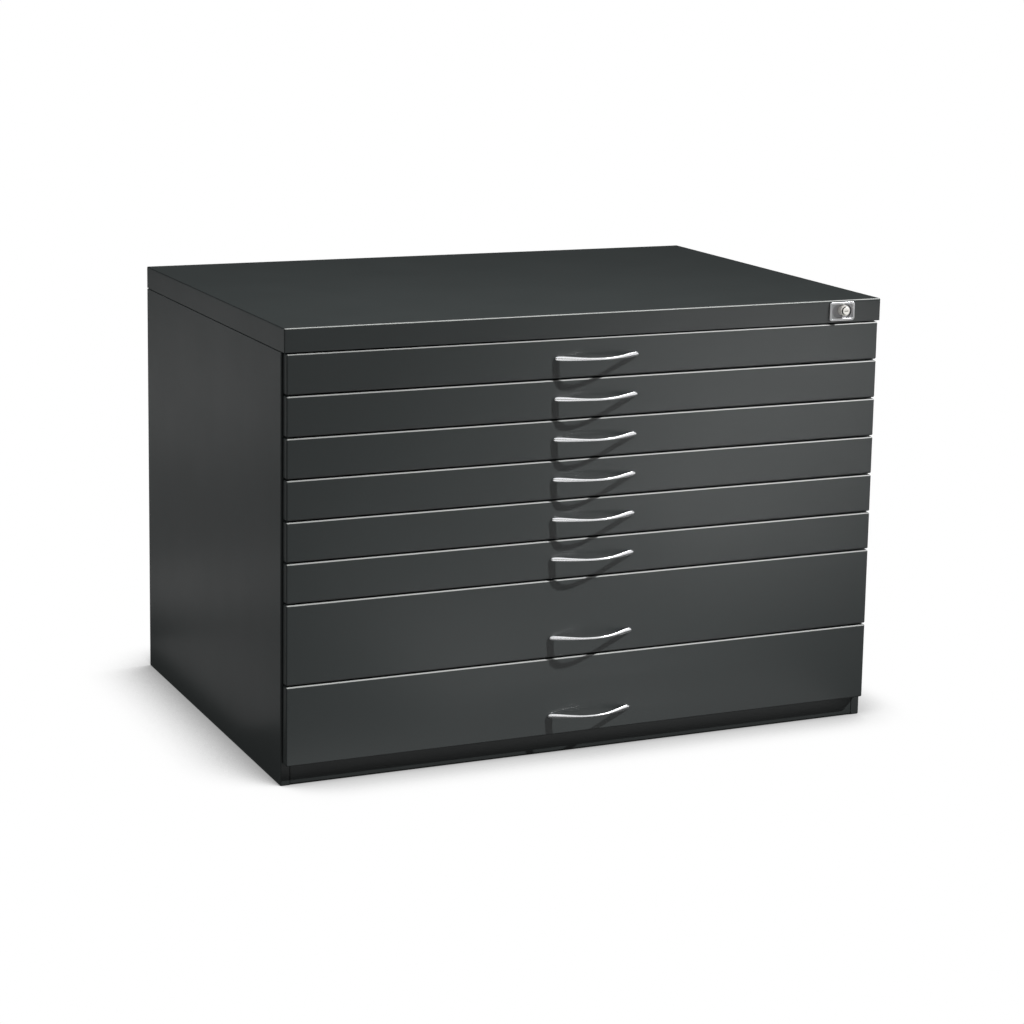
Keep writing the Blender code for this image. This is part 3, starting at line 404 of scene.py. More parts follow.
def powder_coat(name, color, roughness):
    """Semi-gloss coat with orange peel, a slow drift of its shade and gloss, and a painted highlight on the
    folds.
    """
    material = bpy.data.materials.new(name)
    material.use_nodes = True
    tree = material.node_tree
    coat = tree.nodes["Principled BSDF"]
    place = add_node(tree, "ShaderNodeTexCoord")
    drift = add_node(tree, "ShaderNodeTexNoise", Scale=DRIFT_SCALE, Detail=2.0)
    shade = add_node(tree, "ShaderNodeMix", data_type="RGBA")
    for end, share in zip("AB", DRIFT_SHADES):
        shade.inputs[end].default_value = (*[share * c for c in color], 1.0)
    gloss = add_node(tree, "ShaderNodeTexNoise", Scale=GLOSS_SCALE, Detail=3.0)
    spread = add_node(tree, "ShaderNodeMapRange")
    spread.inputs["To Min"].default_value = roughness - GLOSS_DRIFT
    spread.inputs["To Max"].default_value = roughness + GLOSS_DRIFT
    ripple = add_node(tree, "ShaderNodeTexNoise", Scale=PEEL_SCALE, Detail=1.5)
    bump = add_node(tree, "ShaderNodeBump", Strength=PEEL_STRENGTH, Distance=PEEL_HEIGHT)
    for texture in (drift, gloss, ripple):
        tree.links.new(place.outputs["Object"], texture.inputs["Vector"])
    # painted highlight: a paler colour on the upper front folds, for the key lamp's bright line
    painted_fold_highlight = add_node(tree, "ShaderNodeMix", data_type="RGBA")
    painted_fold_highlight.inputs["B"].default_value = FOLD_HIGHLIGHT_COLOR
    tree.links.new(fold_highlight_mask(tree), painted_fold_highlight.inputs["Factor"])
    tree.links.new(drift.outputs["Fac"], shade.inputs["Factor"])
    tree.links.new(shade.outputs["Result"], painted_fold_highlight.inputs["A"])
    tree.links.new(painted_fold_highlight.outputs["Result"], coat.inputs["Base Color"])
    tree.links.new(gloss.outputs["Fac"], spread.inputs["Value"])
    tree.links.new(spread.outputs["Result"], coat.inputs["Roughness"])
    tree.links.new(ripple.outputs["Fac"], bump.inputs["Height"])
    tree.links.new(bump.outputs["Normal"], coat.inputs["Normal"])
    return material


carcass_coat = powder_coat("carcass_coat", COAT_COLOR, COAT_ROUGHNESS)
front_coat = powder_coat("front_coat", COAT_COLOR, COAT_ROUGHNESS)
tray_coat = powder_coat("tray_coat", TRAY_COLOR, TRAY_ROUGHNESS)
print("coats:", carcass_coat.name, front_coat.name, tray_coat.name)

# %% [markdown]
# Bare metal comes in four kinds. The handles and the lock's plate are chromed, which is
# nearly a mirror with faint polishing lines. The push barrel has a satin nickel coat, warm
# and only half a mirror. The slides and the locking bar are zinc plated: a cool grey with
# soft clouds. The face of the lock plug is turned on a lathe. One function makes them all
# from clouds of shade, a drift of gloss and a grain, and a table says how much of each.

# %% Chrome, nickel and zinc
GRAIN_HEIGHT = 0.0001
GLOSS_SPREAD = (0.75, 1.25)
METALS = {
    "handle_chrome": {"dark": (0.84, 0.85, 0.86, 1.0), "light": (0.90, 0.91, 0.92, 1.0), "clouds": 30.0,
                      "roughness": 0.16, "grain": (30, 300, 300), "grain_strength": 0.004},
    "satin_nickel": {"dark": (0.80, 0.78, 0.73, 1.0), "light": (0.86, 0.84, 0.79, 1.0), "clouds": 60.0,
                     "roughness": 0.38, "grain": (300, 300, 300), "grain_strength": 0.02, "metallic": 0.45},
    "plate_chrome": {"dark": (0.84, 0.85, 0.86, 1.0), "light": (0.92, 0.93, 0.94, 1.0), "clouds": 60.0,
                     "roughness": 0.30, "grain": (300, 300, 300), "grain_strength": 0.02},
    "zinc_plate": {"dark": (0.40, 0.42, 0.44, 1.0), "light": (0.62, 0.63, 0.64, 1.0), "clouds": 26.0,
                   "roughness": 0.34, "grain": (700, 60, 700), "grain_strength": 0.10},
    "lock_steel": {"dark": (0.93, 0.91, 0.86, 1.0), "light": (0.93, 0.91, 0.86, 1.0), "clouds": 40.0,
                   "roughness": 0.34, "grain": (400, 400, 400), "grain_strength": 0.02, "metallic": 0.45},
}


def metal(name, dark, light, clouds, roughness, grain, grain_strength, metallic=1.0):
    """Bare metal: clouds of shade, a little drift of gloss, and a grain given by its three scales."""
    material = bpy.data.materials.new(name)
    material.use_nodes = True
    tree = material.node_tree
    steel = tree.nodes["Principled BSDF"]
    steel.inputs["Metallic"].default_value = metallic
    place = add_node(tree, "ShaderNodeTexCoord")
    cloud = add_node(tree, "ShaderNodeTexNoise", Scale=clouds, Detail=3.0)
    shade = add_node(tree, "ShaderNodeMix", data_type="RGBA")
    shade.inputs["A"].default_value = dark
    shade.inputs["B"].default_value = light
    spread = add_node(tree, "ShaderNodeMapRange")
    for end, share in zip(("To Min", "To Max"), GLOSS_SPREAD):
        spread.inputs[end].default_value = share * roughness
    stretch = add_node(tree, "ShaderNodeMapping", Scale=grain)
    lines = add_node(tree, "ShaderNodeTexNoise", Scale=1.0, Detail=2.0)
    bump = add_node(tree, "ShaderNodeBump", Strength=grain_strength, Distance=GRAIN_HEIGHT)
    tree.links.new(place.outputs["Object"], cloud.inputs["Vector"])
    tree.links.new(place.outputs["Object"], stretch.inputs["Vector"])
    tree.links.new(stretch.outputs["Vector"], lines.inputs["Vector"])
    tree.links.new(cloud.outputs["Fac"], shade.inputs["Factor"])
    tree.links.new(shade.outputs["Result"], steel.inputs["Base Color"])
    tree.links.new(cloud.outputs["Fac"], spread.inputs["Value"])
    tree.links.new(spread.outputs["Result"], steel.inputs["Roughness"])
    tree.links.new(lines.outputs["Fac"], bump.inputs["Height"])
    tree.links.new(bump.outputs["Normal"], steel.inputs["Normal"])
    return material


bare = {name: metal(name, **values) for name, values in METALS.items()}
handle_chrome, satin_nickel, plate_chrome, zinc, lock_steel = bare.values()
print("metals:", sorted(bare))

# %% [markdown]
# A polishing wheel reaches the raised frame of the lock's plate and not the hollow inside
# it, so the metal is rougher behind certain depths. The colour there gets painted shade:
# grey on the lower web, dark on the wall of the bowl, grey on its floor, and black in the
# keyhole. The plug's face has turning marks, which are rings about its own axis, and they
# replace its grain.

# %% Painted shade in the lock
SHADE_AND_GLOSS_FADE = 0.0004
# painted shade for the hollows of the lock's plate, with the rougher gloss there
LOCK_PAINTED_SHADES = {
    "web": {"from_front": -0.0019, "shade": (0.42, 0.42, 0.43, 1.0), "roughness": 0.38},
    "bowl's wall": {"from_front": -0.0010, "shade": (0.06, 0.06, 0.06, 1.0), "roughness": 0.5},
    "bowl's floor": {"from_front": 0.0014, "shade": (0.30, 0.30, 0.31, 1.0), "roughness": 0.38},
}
KEYHOLE_FROM_FACE = 0.0008
# painted shade inside the keyhole
KEYHOLE_PAINTED_SHADE = (0.02, 0.02, 0.02, 1.0)
KEYHOLE_ROUGHNESS = 0.6
TURNING_MARKS = 500.0
TURNING_STRENGTH = 0.15


def paint_shade_and_gloss_behind(material, depth, shade, roughness):
    """Painted shade and a rougher gloss behind a plane along Y: shade for the dark hollow, gloss where no
    polishing wheel reaches.
    """
    tree = material.node_tree
    steel = tree.nodes["Principled BSDF"]
    place = add_node(tree, "ShaderNodeTexCoord")
    parts = add_node(tree, "ShaderNodeSeparateXYZ")
    behind = add_node(tree, "ShaderNodeMapRange", interpolation_type="SMOOTHSTEP")
    behind.inputs["From Min"].default_value = depth
    behind.inputs["From Max"].default_value = depth + SHADE_AND_GLOSS_FADE
    tree.links.new(place.outputs["Object"], parts.inputs["Vector"])
    tree.links.new(parts.outputs["Y"], behind.inputs["Value"])
    color = add_node(tree, "ShaderNodeMix", data_type="RGBA")
    color.inputs["B"].default_value = shade
    tree.links.new(behind.outputs["Result"], color.inputs["Factor"])
    tree.links.new(steel.inputs["Base Color"].links[0].from_socket, color.inputs["A"])
    tree.links.new(color.outputs["Result"], steel.inputs["Base Color"])
    gloss = add_node(tree, "ShaderNodeMix", data_type="FLOAT")
    gloss.inputs["B"].default_value = roughness
    tree.links.new(behind.outputs["Result"], gloss.inputs["Factor"])
    tree.links.new(steel.inputs["Roughness"].links[0].from_socket, gloss.inputs["A"])
    tree.links.new(gloss.outputs["Result"], steel.inputs["Roughness"])


def turn_on_lathe(material, centre):
    """Fine rings about an axis along Y through the centre, in place of the grain."""
    tree = material.node_tree
    place = add_node(tree, "ShaderNodeTexCoord")
    centred = add_node(tree, "ShaderNodeMapping", Location=(-centre.x, 0, -centre.z))
    rings = add_node(tree, "ShaderNodeTexWave", wave_type="RINGS", rings_direction="Y",
                     Scale=TURNING_MARKS)
    bump = add_node(tree, "ShaderNodeBump", Strength=TURNING_STRENGTH, Distance=GRAIN_HEIGHT)
    tree.links.new(place.outputs["Object"], centred.inputs["Vector"])
    tree.links.new(centred.outputs["Vector"], rings.inputs["Vector"])
    tree.links.new(rings.outputs["Fac"], bump.inputs["Height"])
    tree.links.new(bump.outputs["Normal"], tree.nodes["Principled BSDF"].inputs["Normal"])


# painted shade in the plate's hollow: web, bowl's wall and bowl's floor
for zone in LOCK_PAINTED_SHADES.values():
    paint_shade_and_gloss_behind(plate_chrome, front_y + zone["from_front"], zone["shade"], zone["roughness"])
turn_on_lathe(lock_steel, (plug_low + plug_high) / 2)
# painted shade on the plug from just behind its face on, which blackens the keyhole
paint_shade_and_gloss_behind(lock_steel, plug_low.y + KEYHOLE_FROM_FACE, KEYHOLE_PAINTED_SHADE, KEYHOLE_ROUGHNESS)
print("shades in the lock's plate:", list(LOCK_PAINTED_SHADES))

# %% [markdown]
# ## Working with bent sheet
# Every panel of the cabinet starts as one flat blank and is folded on a press. The same
# steps make it here: a cube at the panel's outer size loses its open sides, its folds are
# bevelled to the press's radius, free edges are carried on as flanges, and Solidify gives
# the skin its thickness inwards, so the outside stays where it is.
#
# By hand one would click the faces and edges. In code they are picked by where they lie
# and which way they look, so a changed size doesn't break the choice.

# %% Pick faces and edges
FOLD_ANGLE = math.radians(30)
FACING_LIMIT = 0.99
FRONT, BACK = (0, -1, 0), (0, 1, 0)
LEFT, RIGHT = (-1, 0, 0), (1, 0, 0)
TOP, BOTTOM = (0, 0, 1), (0, 0, -1)


def pick(kind, test):
    """In edit mode, selects the faces or edges that pass a test and counts them."""
    bpy.ops.mesh.select_mode(type=kind)
    bpy.ops.mesh.select_all(action="DESELECT")
    sheet = bmesh.from_edit_mesh(bpy.context.active_object.data)
    sheet.normal_update()
    parts = sheet.faces if kind == "FACE" else sheet.edges
    found = [part for part in parts if test(part)]
    for part in found:
        part.select_set(True)
    bmesh.update_edit_mesh(bpy.context.active_object.data)
    return len(found)


def facing(direction):
    """Test for faces that look along a direction."""
    aim = Vector(direction)
    return lambda face: face.normal.dot(aim) > FACING_LIMIT


def lies_in(low, high):
    """Test for edges whose ends both lie in a box."""
    return lambda edge: all(low[i] <= vert.co[i] <= high[i] for vert in edge.verts for i in range(3))


def free_edge(low, high):
    """Test for rim edges whose ends both lie in a box."""
    inside = lies_in(low, high)
    return lambda edge: len(edge.link_faces) == 1 and inside(edge)


def is_fold(edge):
    """Test for an edge where two faces meet at an angle."""
    return len(edge.link_faces) == 2 and edge.calc_face_angle() > FOLD_ANGLE


print("a fold turns by %.0f degrees or more" % math.degrees(FOLD_ANGLE))

# %% [markdown]
# The next helpers are the press itself. A cube is only the blank: what makes it a panel is
# which sides are taken away, how round the folds are, and where the free edges go on. The
# cube's place is applied to its mesh at once, so the finished piece sits at the origin,
# where its joint and its finish expect it.

# %% Shape a blank
FOLD_STEPS = 4


def start_box(name, low, high):
    """A cube between two corners, in edit mode, its place already in its mesh."""
    deselect_all()
    low, high = Vector(low), Vector(high)
    bpy.ops.mesh.primitive_cube_add(size=1, location=(low + high) / 2, scale=high - low)
    box = bpy.context.active_object
    box.name = name
    box.data.name = name
    bpy.ops.object.transform_apply(location=True, rotation=True, scale=True)
    bpy.ops.object.mode_set(mode="EDIT")
    return box


def open_sides(*directions):
    """Takes the faces on some sides away."""
    for direction in directions:
        pick("FACE", facing(direction))
        bpy.ops.mesh.delete(type="FACE")


def round_edges(radius, steps, test=is_fold):
    """Bevels the edges that pass a test, by default every fold."""
    count = pick("EDGE", test)
    bpy.ops.mesh.bevel(offset=radius, segments=steps, affect="EDGES", clamp_overlap=True)
    return count


def extrude_by(move):
    """Carries the selected edges or faces on by a step."""
    bpy.ops.mesh.extrude_region_move(TRANSFORM_OT_translate={"value": move})


print("a fold is rounded in %d steps" % FOLD_STEPS)

# %% [markdown]
# Thickness and shading come last, when the shape is right. Solidify grows the wall inwards.
# Smooth shading by angle keeps real corners sharp, and on sheet metal the weighted normals
# keep the large flats flat, so that a reflection runs straight up to the fold. Then the
# piece gets its finish and is hung on the body it rides on, and the nodes that it stands
# for are hidden.

# %% Finish a piece
SHEET = 0.0012
SHEET_ANGLE = 32
BOW_ANGLE = 50
LOCK_ANGLE = 40


def apply_modifier(piece, kind, **settings):
    """Adds a modifier by its operator, sets it and applies it."""
    bpy.ops.object.modifier_add(type=kind)
    step = piece.modifiers[-1]
    for name, value in settings.items():
        setattr(step, name, value)
    bpy.ops.object.modifier_apply(modifier=step.name)


def thicken(piece):
    """Gives the skin the sheet's thickness, inwards."""
    bpy.ops.object.mode_set(mode="OBJECT")
    apply_modifier(piece, "SOLIDIFY", thickness=SHEET, offset=-1, use_even_offset=True,
                   use_quality_normals=True)


def smooth(piece, degrees=SHEET_ANGLE, flat_sheet=True):
    """Smooth shading; on sheet metal the flats stay flat up to their folds."""
    if bpy.context.mode != "OBJECT":
        bpy.ops.object.mode_set(mode="OBJECT")
    bpy.ops.object.shade_smooth_by_angle(angle=math.radians(degrees))
    if flat_sheet:
        apply_modifier(piece, "WEIGHTED_NORMAL", keep_sharp=True)


def hand_over(piece, body, material, slot, *nodes):
    """Gives a finished piece its finish and its body, and hides the nodes that it stands for."""
    piece.data.materials.clear()
    piece.data.materials.append(material)
    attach(piece, body)
    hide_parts(*nodes)
    print("%s: %d faces" % (piece.name, len(piece.data.polygons)))


def copy_piece(piece, name, move):
    """Copy with its own mesh, moved in its mesh."""
    twin = piece.copy()
    twin.data = piece.data.copy()
    twin.name = name
    twin.data.name = name
    twin.data.transform(Matrix.Translation(move))
    bpy.context.scene.collection.objects.link(twin)
    return twin


print("sheet is %.1f mm thick, and smooth up to %d degrees" % (1000 * SHEET, SHEET_ANGLE))

# %% [markdown]
# ## Lid
# The lid is a shallow tray turned upside down. Its front rim has a lip folded back under
# it, which closes the view up into the lid when a drawer is open. The lock looks out
# through a window at the right end of the rim, cut in the flat skin with four bisects
# before the steel gets its thickness.

# %% Model the lid
LID_RADIUS = 0.0020
LID_LIP = 0.013
WINDOW_MARGIN = 0.0025
PLATE_SIZE = (0.050, 0.033)
EDGE_REACH = 0.0005
lock_x = (lock_low.x + lock_high.x) / 2
lock_z = (lock_low.z + lock_high.z) / 2


def cut_window(direction, low, high, axes):
    """Cuts a rectangle out of the faces on one side; axes are the two that it lies along."""
    for axis in axes:
        for place in (low, high):
            pick("FACE", facing(direction))
            normal = [1.0 if i == axis else 0.0 for i in range(3)]
            bpy.ops.mesh.bisect(plane_co=place, plane_no=normal)
    pick("FACE", lambda face: facing(direction)(face) and all(
        low[i] < face.calc_center_median()[i] < high[i] for i in axes))
    bpy.ops.mesh.delete(type="FACE")


lid = start_box("lid", lid_low, lid_high)
open_sides(BOTTOM)
round_edges(LID_RADIUS, FOLD_STEPS)
window_half = Vector((PLATE_SIZE[0] / 2 - WINDOW_MARGIN, 0, PLATE_SIZE[1] / 2 - WINDOW_MARGIN))
lock_middle = Vector((lock_x, front_y, lock_z))
cut_window(FRONT, lock_middle - window_half, lock_middle + window_half, (0, 2))
pick("EDGE", free_edge((lid_low.x + LID_RADIUS / 2, front_y - EDGE_REACH, lid_low.z - EDGE_REACH),
                       (lid_high.x - LID_RADIUS / 2, front_y + EDGE_REACH, lid_low.z + EDGE_REACH)))
extrude_by((0, LID_LIP, 0))
thicken(lid)
smooth(lid)
hand_over(lid, "cabinet", carcass_coat, "coated_steel", "top_cover")

# %% [markdown]
# ## Side panels
# Each side is one sheet with a flange turned in all round. Near the top it steps in a
# little and goes up behind the lid's rim: that step is the dark line under the lid. The
# front flange is the narrow upright beside the drawer fronts.

# %% Model the side panels
STEP_BELOW_LID = 0.002
STEP_IN = 0.0023
PANEL_RADIUS = 0.0022


def model_side_panel(side_name, side):
    """One side panel; side is -1 on the left and 1 on the right."""
    node = "side_panel_" + side_name
    low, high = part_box(node)
    shoulder = lid_low.z - STEP_BELOW_LID
    panel = start_box("side_" + side_name, low, (high.x, high.y, shoulder))
    open_sides((-side, 0, 0), TOP)
    round_edges(PANEL_RADIUS, FOLD_STEPS)
    outer = low.x if side < 0 else high.x
    pick("EDGE", free_edge((outer - EDGE_REACH, low.y + PANEL_RADIUS / 2, shoulder - EDGE_REACH),
                           (outer + EDGE_REACH, high.y - PANEL_RADIUS / 2, shoulder + EDGE_REACH)))
    extrude_by((-side * STEP_IN, 0, 0))
    extrude_by((0, 0, high.z - shoulder))
    extrude_by((-side * ((high.x - low.x) - STEP_IN), 0, 0))
    thicken(panel)
    smooth(panel)
    hand_over(panel, "cabinet", carcass_coat, "coated_steel", node)


model_side_panel("left", -1)
model_side_panel("right", 1)

# %% [markdown]
# ## Plinth and back
# The plinth fills the front between the two side flanges. It stands a little clear of the
# floor, which leaves a fine dark line there. The back is a plain pan whose edges turn in.

# %% Model the plinth and the back
plinth = start_box("plinth", *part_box("plinth_front"))
open_sides(BACK, LEFT, RIGHT)
round_edges(PANEL_RADIUS, FOLD_STEPS)
thicken(plinth)
smooth(plinth)
hand_over(plinth, "cabinet", carcass_coat, "coated_steel", "plinth_front")

back_pan = start_box("back_pan", *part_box("back_panel"))
open_sides(FRONT)
round_edges(PANEL_RADIUS, FOLD_STEPS)
thicken(back_pan)
smooth(back_pan)
hand_over(back_pan, "cabinet", carcass_coat, "coated_steel", "back_panel")

# %% [markdown]
# ## Drawer fronts
# A front is a pan of steel, open to the back. Its folds are rounder than the lid's, and
# the upper one catches the key lamp as a bright line that runs the whole width, made
# brighter by the coat's painted highlight. One front of each height is modelled, and the
# others are copies with their own meshes.

# %% Model the drawer fronts
FRONT_RADIUS = 0.0026
FRONT_STEPS = 6


def front_height(number):
    """Height of a drawer's front, to a tenth of a millimetre."""
    low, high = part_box("drawer_front_%d" % number)
    return round(high.z - low.z, 4)


def model_front(number):
    """Front of one drawer, at its place in the frame."""
    front = start_box("front_%d" % number, *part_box("drawer_front_%d" % number))
    open_sides(BACK)
    round_edges(FRONT_RADIUS, FRONT_STEPS)
    thicken(front)
    smooth(front)
    return front


modelled = {}
for number in DRAWERS:
    node = "drawer_front_%d" % number
    height = front_height(number)
    if height not in modelled:
        modelled[height] = (model_front(number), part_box(node)[0])
        front = modelled[height][0]
    else:
        first, first_low = modelled[height]
        front = copy_piece(first, "front_%d" % number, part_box(node)[0] - first_low)
    hand_over(front, "drawer_%d" % number, front_coat, "front_coat", node)

# %% [markdown]
# ## Handles
# The handle is a cast bow. It lies flat on the front at both ends, swings out almost three
# centimetres, and changes its section on the way: nearly round in the middle, and a flat
# leaf at each foot. A circle is extruded ring by ring along the bow. At each ring it is
# turned back, scaled to the section, and turned again across the bow. First come the
# numbers of its shape: how far the middle line stands out, and how thick the metal is.

# %% Shape of the bow
BOW_RINGS = 60
BOW_SIDES = 32
MIDDLE_HALF = (0.0024, 0.0023)
LEAF_HALF = (0.0031, 0.0044)
LEAF_LENGTH = 0.012
FOOT_LENGTH = 0.005
SEAT_SHARE = 0.6
SEAT_GAP = 0.0003
TIP_ROOM = 0.00015
BOW_POWER = 1.3
SWELL_POWER = 1.6
TIP_POWER = 3
bow_low, bow_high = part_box("handle_1")
bow_half = (bow_high.x - bow_low.x) / 2
bow_reach = front_y - bow_low.y
bow_z = (bow_low.z + bow_high.z) / 2


def bow_arch(distance):
    """Share of the bow's full reach at a distance from its middle."""
    share = min(abs(distance) / (bow_half - FOOT_LENGTH), 1)
    return (1 - share ** 2) ** BOW_POWER


def bow_section(distance):
    """Reach of the middle line, half depth and half height at a distance from the middle."""
    away = abs(distance)
    tip = math.sqrt(1 - (1 - min((bow_half - away) / LEAF_LENGTH, 1)) ** TIP_POWER)
    swell = min(away / (bow_half - LEAF_LENGTH), 1) ** SWELL_POWER
    swell = swell ** 2 * (3 - 2 * swell)
    depth, height = [tip * (middle + (leaf - middle) * swell)
                     for middle, leaf in zip(MIDDLE_HALF, LEAF_HALF)]
    foot = SEAT_GAP + SEAT_SHARE * depth
    return foot + (bow_reach - MIDDLE_HALF[0] - foot) * bow_arch(distance), depth, height


print("bow: %.0f mm long, %.0f mm deep" % (2000 * bow_half, 1000 * bow_reach))

# %% [markdown]
# The rings stand closer at the ends, where the section changes fastest. The feet are cut
# flat where they meet the front. Without a window Blender's rotate operator turns the other
# way, which the sign of the angle allows for, and it is told its centre, so that no pivot
# setting matters. One bow is modelled and the others are copies.

# %% Model the handles
QUARTER_TURN = math.radians(90)


def turn(angle, centre):
    """Turns the selection about the upright through a point, anticlockwise from above."""
    bpy.ops.transform.rotate(value=-angle, orient_axis="Z", center_override=centre)


def model_bow():
    """First handle, at its place in the frame."""
    end = bow_half - TIP_ROOM
    places = [end * math.sin(QUARTER_TURN * (2 * ring / BOW_RINGS - 1)) for ring in range(BOW_RINGS + 1)]
    reach, depth, height = bow_section(places[0])
    before = Vector((places[0], front_y - reach, bow_z))
    deselect_all()
    bpy.ops.mesh.primitive_circle_add(vertices=BOW_SIDES, radius=1, fill_type="NGON", location=before,
                                      rotation=(0, QUARTER_TURN, 0))
    bow = bpy.context.active_object
    bow.name = "bow_1"
    bow.data.name = "bow_1"
    bpy.ops.object.transform_apply(location=True, rotation=True, scale=True)
    bpy.ops.object.mode_set(mode="EDIT")
    bpy.ops.mesh.select_all(action="SELECT")
    bpy.ops.transform.resize(value=(1, depth, height), center_override=before)
    tilt, size = 0.0, (depth, height)
    for place in places[1:]:
        reach, depth, height = bow_section(place)
        point = Vector((place, front_y - reach, bow_z))
        extrude_by(point - before)
        turn(-tilt, point)
        bpy.ops.transform.resize(value=(1, depth / size[0], height / size[1]), center_override=point)
        slope = (bow_arch(place + TIP_ROOM) - bow_arch(place - TIP_ROOM)) * bow_reach / (2 * TIP_ROOM)
        tilt = -math.atan(slope)
        turn(tilt, point)
        before, size = point, (depth, height)
    bpy.ops.mesh.select_all(action="SELECT")
    bpy.ops.mesh.bisect(plane_co=(0, front_y - SEAT_GAP, 0), plane_no=BACK, use_fill=True,
                        clear_outer=True)
    bpy.ops.mesh.select_all(action="SELECT")
    bpy.ops.mesh.normals_make_consistent(inside=False)
    smooth(bow, BOW_ANGLE, flat_sheet=False)
    return bow


bow = model_bow()
print("bow measures", [round(1000 * v, 2) for v in bow.dimensions], "mm")
for number in DRAWERS:
    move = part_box("handle_%d" % number)[0] - bow_low
    piece = bow if number == 1 else copy_piece(bow, "bow_%d" % number, move)
    hand_over(piece, "drawer_%d" % number, handle_chrome, "handle_chrome", "handle_%d" % number)

# %% [markdown]
# ## Lock
# The lock has a die-cast plate with a raised round frame. Inside the frame a bowl with
# round ends leaves room for the thumb, and the push barrel stands in it. Real tools would
# mould the plate in one go. Here it is a block with a body and a housing welded on behind,
# and the window, the bowl and the bore are cut out of it, so the booleans do the die's work.

# %% Helpers for the lock
ROUND_SIDES = 64
ALONG_SHARE = 0.9
DEPTH_REACH = 0.00005


def start_rod(name, centre, radius, front, back):
    """A cylinder along Y between two depths, in edit mode, its place already in its mesh."""
    deselect_all()
    middle = (centre[0], (front + back) / 2, centre[1])
    bpy.ops.mesh.primitive_cylinder_add(vertices=ROUND_SIDES, radius=radius, depth=back - front,
                                        location=middle, rotation=(QUARTER_TURN, 0, 0))
    rod = bpy.context.active_object
    rod.name = name
    rod.data.name = name
    bpy.ops.object.transform_apply(location=True, rotation=True, scale=True)
    bpy.ops.object.mode_set(mode="EDIT")
    return rod


def combine(piece, operation, tool):
    """Welds a tool shape to a piece or cuts it out of it, and clears the tool away."""
    deselect_all()
    piece.select_set(True)
    bpy.context.view_layer.objects.active = piece
    apply_modifier(piece, "BOOLEAN", operation=operation, object=tool, solver="EXACT")
    bpy.data.objects.remove(tool)


def along_y(edge):
    """Test for edges that run along Y."""
    first, second = (vert.co for vert in edge.verts)
    return abs(first.y - second.y) > ALONG_SHARE * (first - second).length


def at_depth(depth, low=None, high=None):
    """Test for edges at one depth, and inside a rectangle in X and Z if one is given."""
    low = low or (-math.inf, -math.inf)
    high = high or (math.inf, math.inf)
    return lies_in((low[0], depth - DEPTH_REACH, low[1]), (high[0], depth + DEPTH_REACH, high[1]))


def rounded_block(name, half, front, back, corner, steps):
    """Block centred on the lock, with round corners in front view, in edit mode."""
    low = (lock_x - half[0], front, lock_z - half[1])
    high = (lock_x + half[0], back, lock_z + half[1])
    block = start_box(name, low, high)
    round_edges(corner, steps, along_y)
    return block


print("round pieces of the lock have %d sides" % ROUND_SIDES)

# %% [markdown]
# The plate is made in this order: first all that adds metal, then all that takes it away,
# so that no cut is filled again. The frame's inner edges are rounded last, because they
# are there only when the window has been cut.

# %% Model the lock's plate
FRAME_WIDTH = 0.004
FRAME_OUTER_ROUND = 0.0011
FRAME_INNER_ROUND = 0.0010
FRAME_STEPS = 4
PLATE_CORNER, PLATE_CORNER_STEPS = 0.005, 10
PLATE_BACK = 0.0003
WEB_DEPTH = -0.0012
WINDOW_CORNER, WINDOW_CORNER_STEPS = 0.002, 6
BOWL_DEPTH = 0.0020
BOWL_MARGIN = (0.002, 0.0007)
BOWL_END_FLAT, BOWL_END_STEPS = 0.0002, 16
BOWL_FLOOR_ROUND = 0.0014
BODY_BACK = 0.004
BODY_WALL = 0.001
BODY_CORNER, BODY_CORNER_STEPS = 0.001, 3
CUT_ROOM = 0.004
BARREL_RADIUS = 0.0090
BARREL_PLAY = 0.0003
HOUSING_WALL = 0.0025
barrel_axis = ((barrel_low.x + barrel_high.x) / 2, (barrel_low.z + barrel_high.z) / 2)
plate_half = [size / 2 for size in PLATE_SIZE]
window = [half - FRAME_WIDTH for half in plate_half]
bowl = [half - margin for half, margin in zip(window, BOWL_MARGIN)]
body_half = [half + BODY_WALL for half in window]
cut_from = lock_low.y - CUT_ROOM
bore_radius = BARREL_RADIUS + BARREL_PLAY

plate = rounded_block("lock_escutcheon", plate_half, lock_low.y, front_y - PLATE_BACK,
                      PLATE_CORNER, PLATE_CORNER_STEPS)
round_edges(FRAME_OUTER_ROUND, FRAME_STEPS, at_depth(lock_low.y))
bpy.ops.object.mode_set(mode="OBJECT")
body = rounded_block("body", body_half, front_y - 2 * PLATE_BACK, front_y + BODY_BACK,
                     BODY_CORNER, BODY_CORNER_STEPS)
combine(plate, "UNION", body)
housing = start_rod("housing", barrel_axis, bore_radius + HOUSING_WALL,
                    front_y + BOWL_DEPTH + BODY_WALL / 2, lock_high.y)
combine(plate, "UNION", housing)
hollow = rounded_block("window", window, cut_from, front_y + WEB_DEPTH,
                       WINDOW_CORNER, WINDOW_CORNER_STEPS)
combine(plate, "DIFFERENCE", hollow)
scoop = rounded_block("scoop", bowl, cut_from, front_y + BOWL_DEPTH,
                      bowl[1] - BOWL_END_FLAT, BOWL_END_STEPS)
round_edges(BOWL_FLOOR_ROUND, FRAME_STEPS, at_depth(front_y + BOWL_DEPTH))
combine(plate, "DIFFERENCE", scoop)
bore = start_rod("bore", barrel_axis, bore_radius, front_y, lock_high.y + CUT_ROOM)
combine(plate, "DIFFERENCE", bore)
bpy.ops.object.mode_set(mode="EDIT")
inner_low = (lock_x - window[0] - EDGE_REACH, lock_z - window[1] - EDGE_REACH)
inner_high = (lock_x + window[0] + EDGE_REACH, lock_z + window[1] + EDGE_REACH)
rim = at_depth(lock_low.y, inner_low, inner_high)
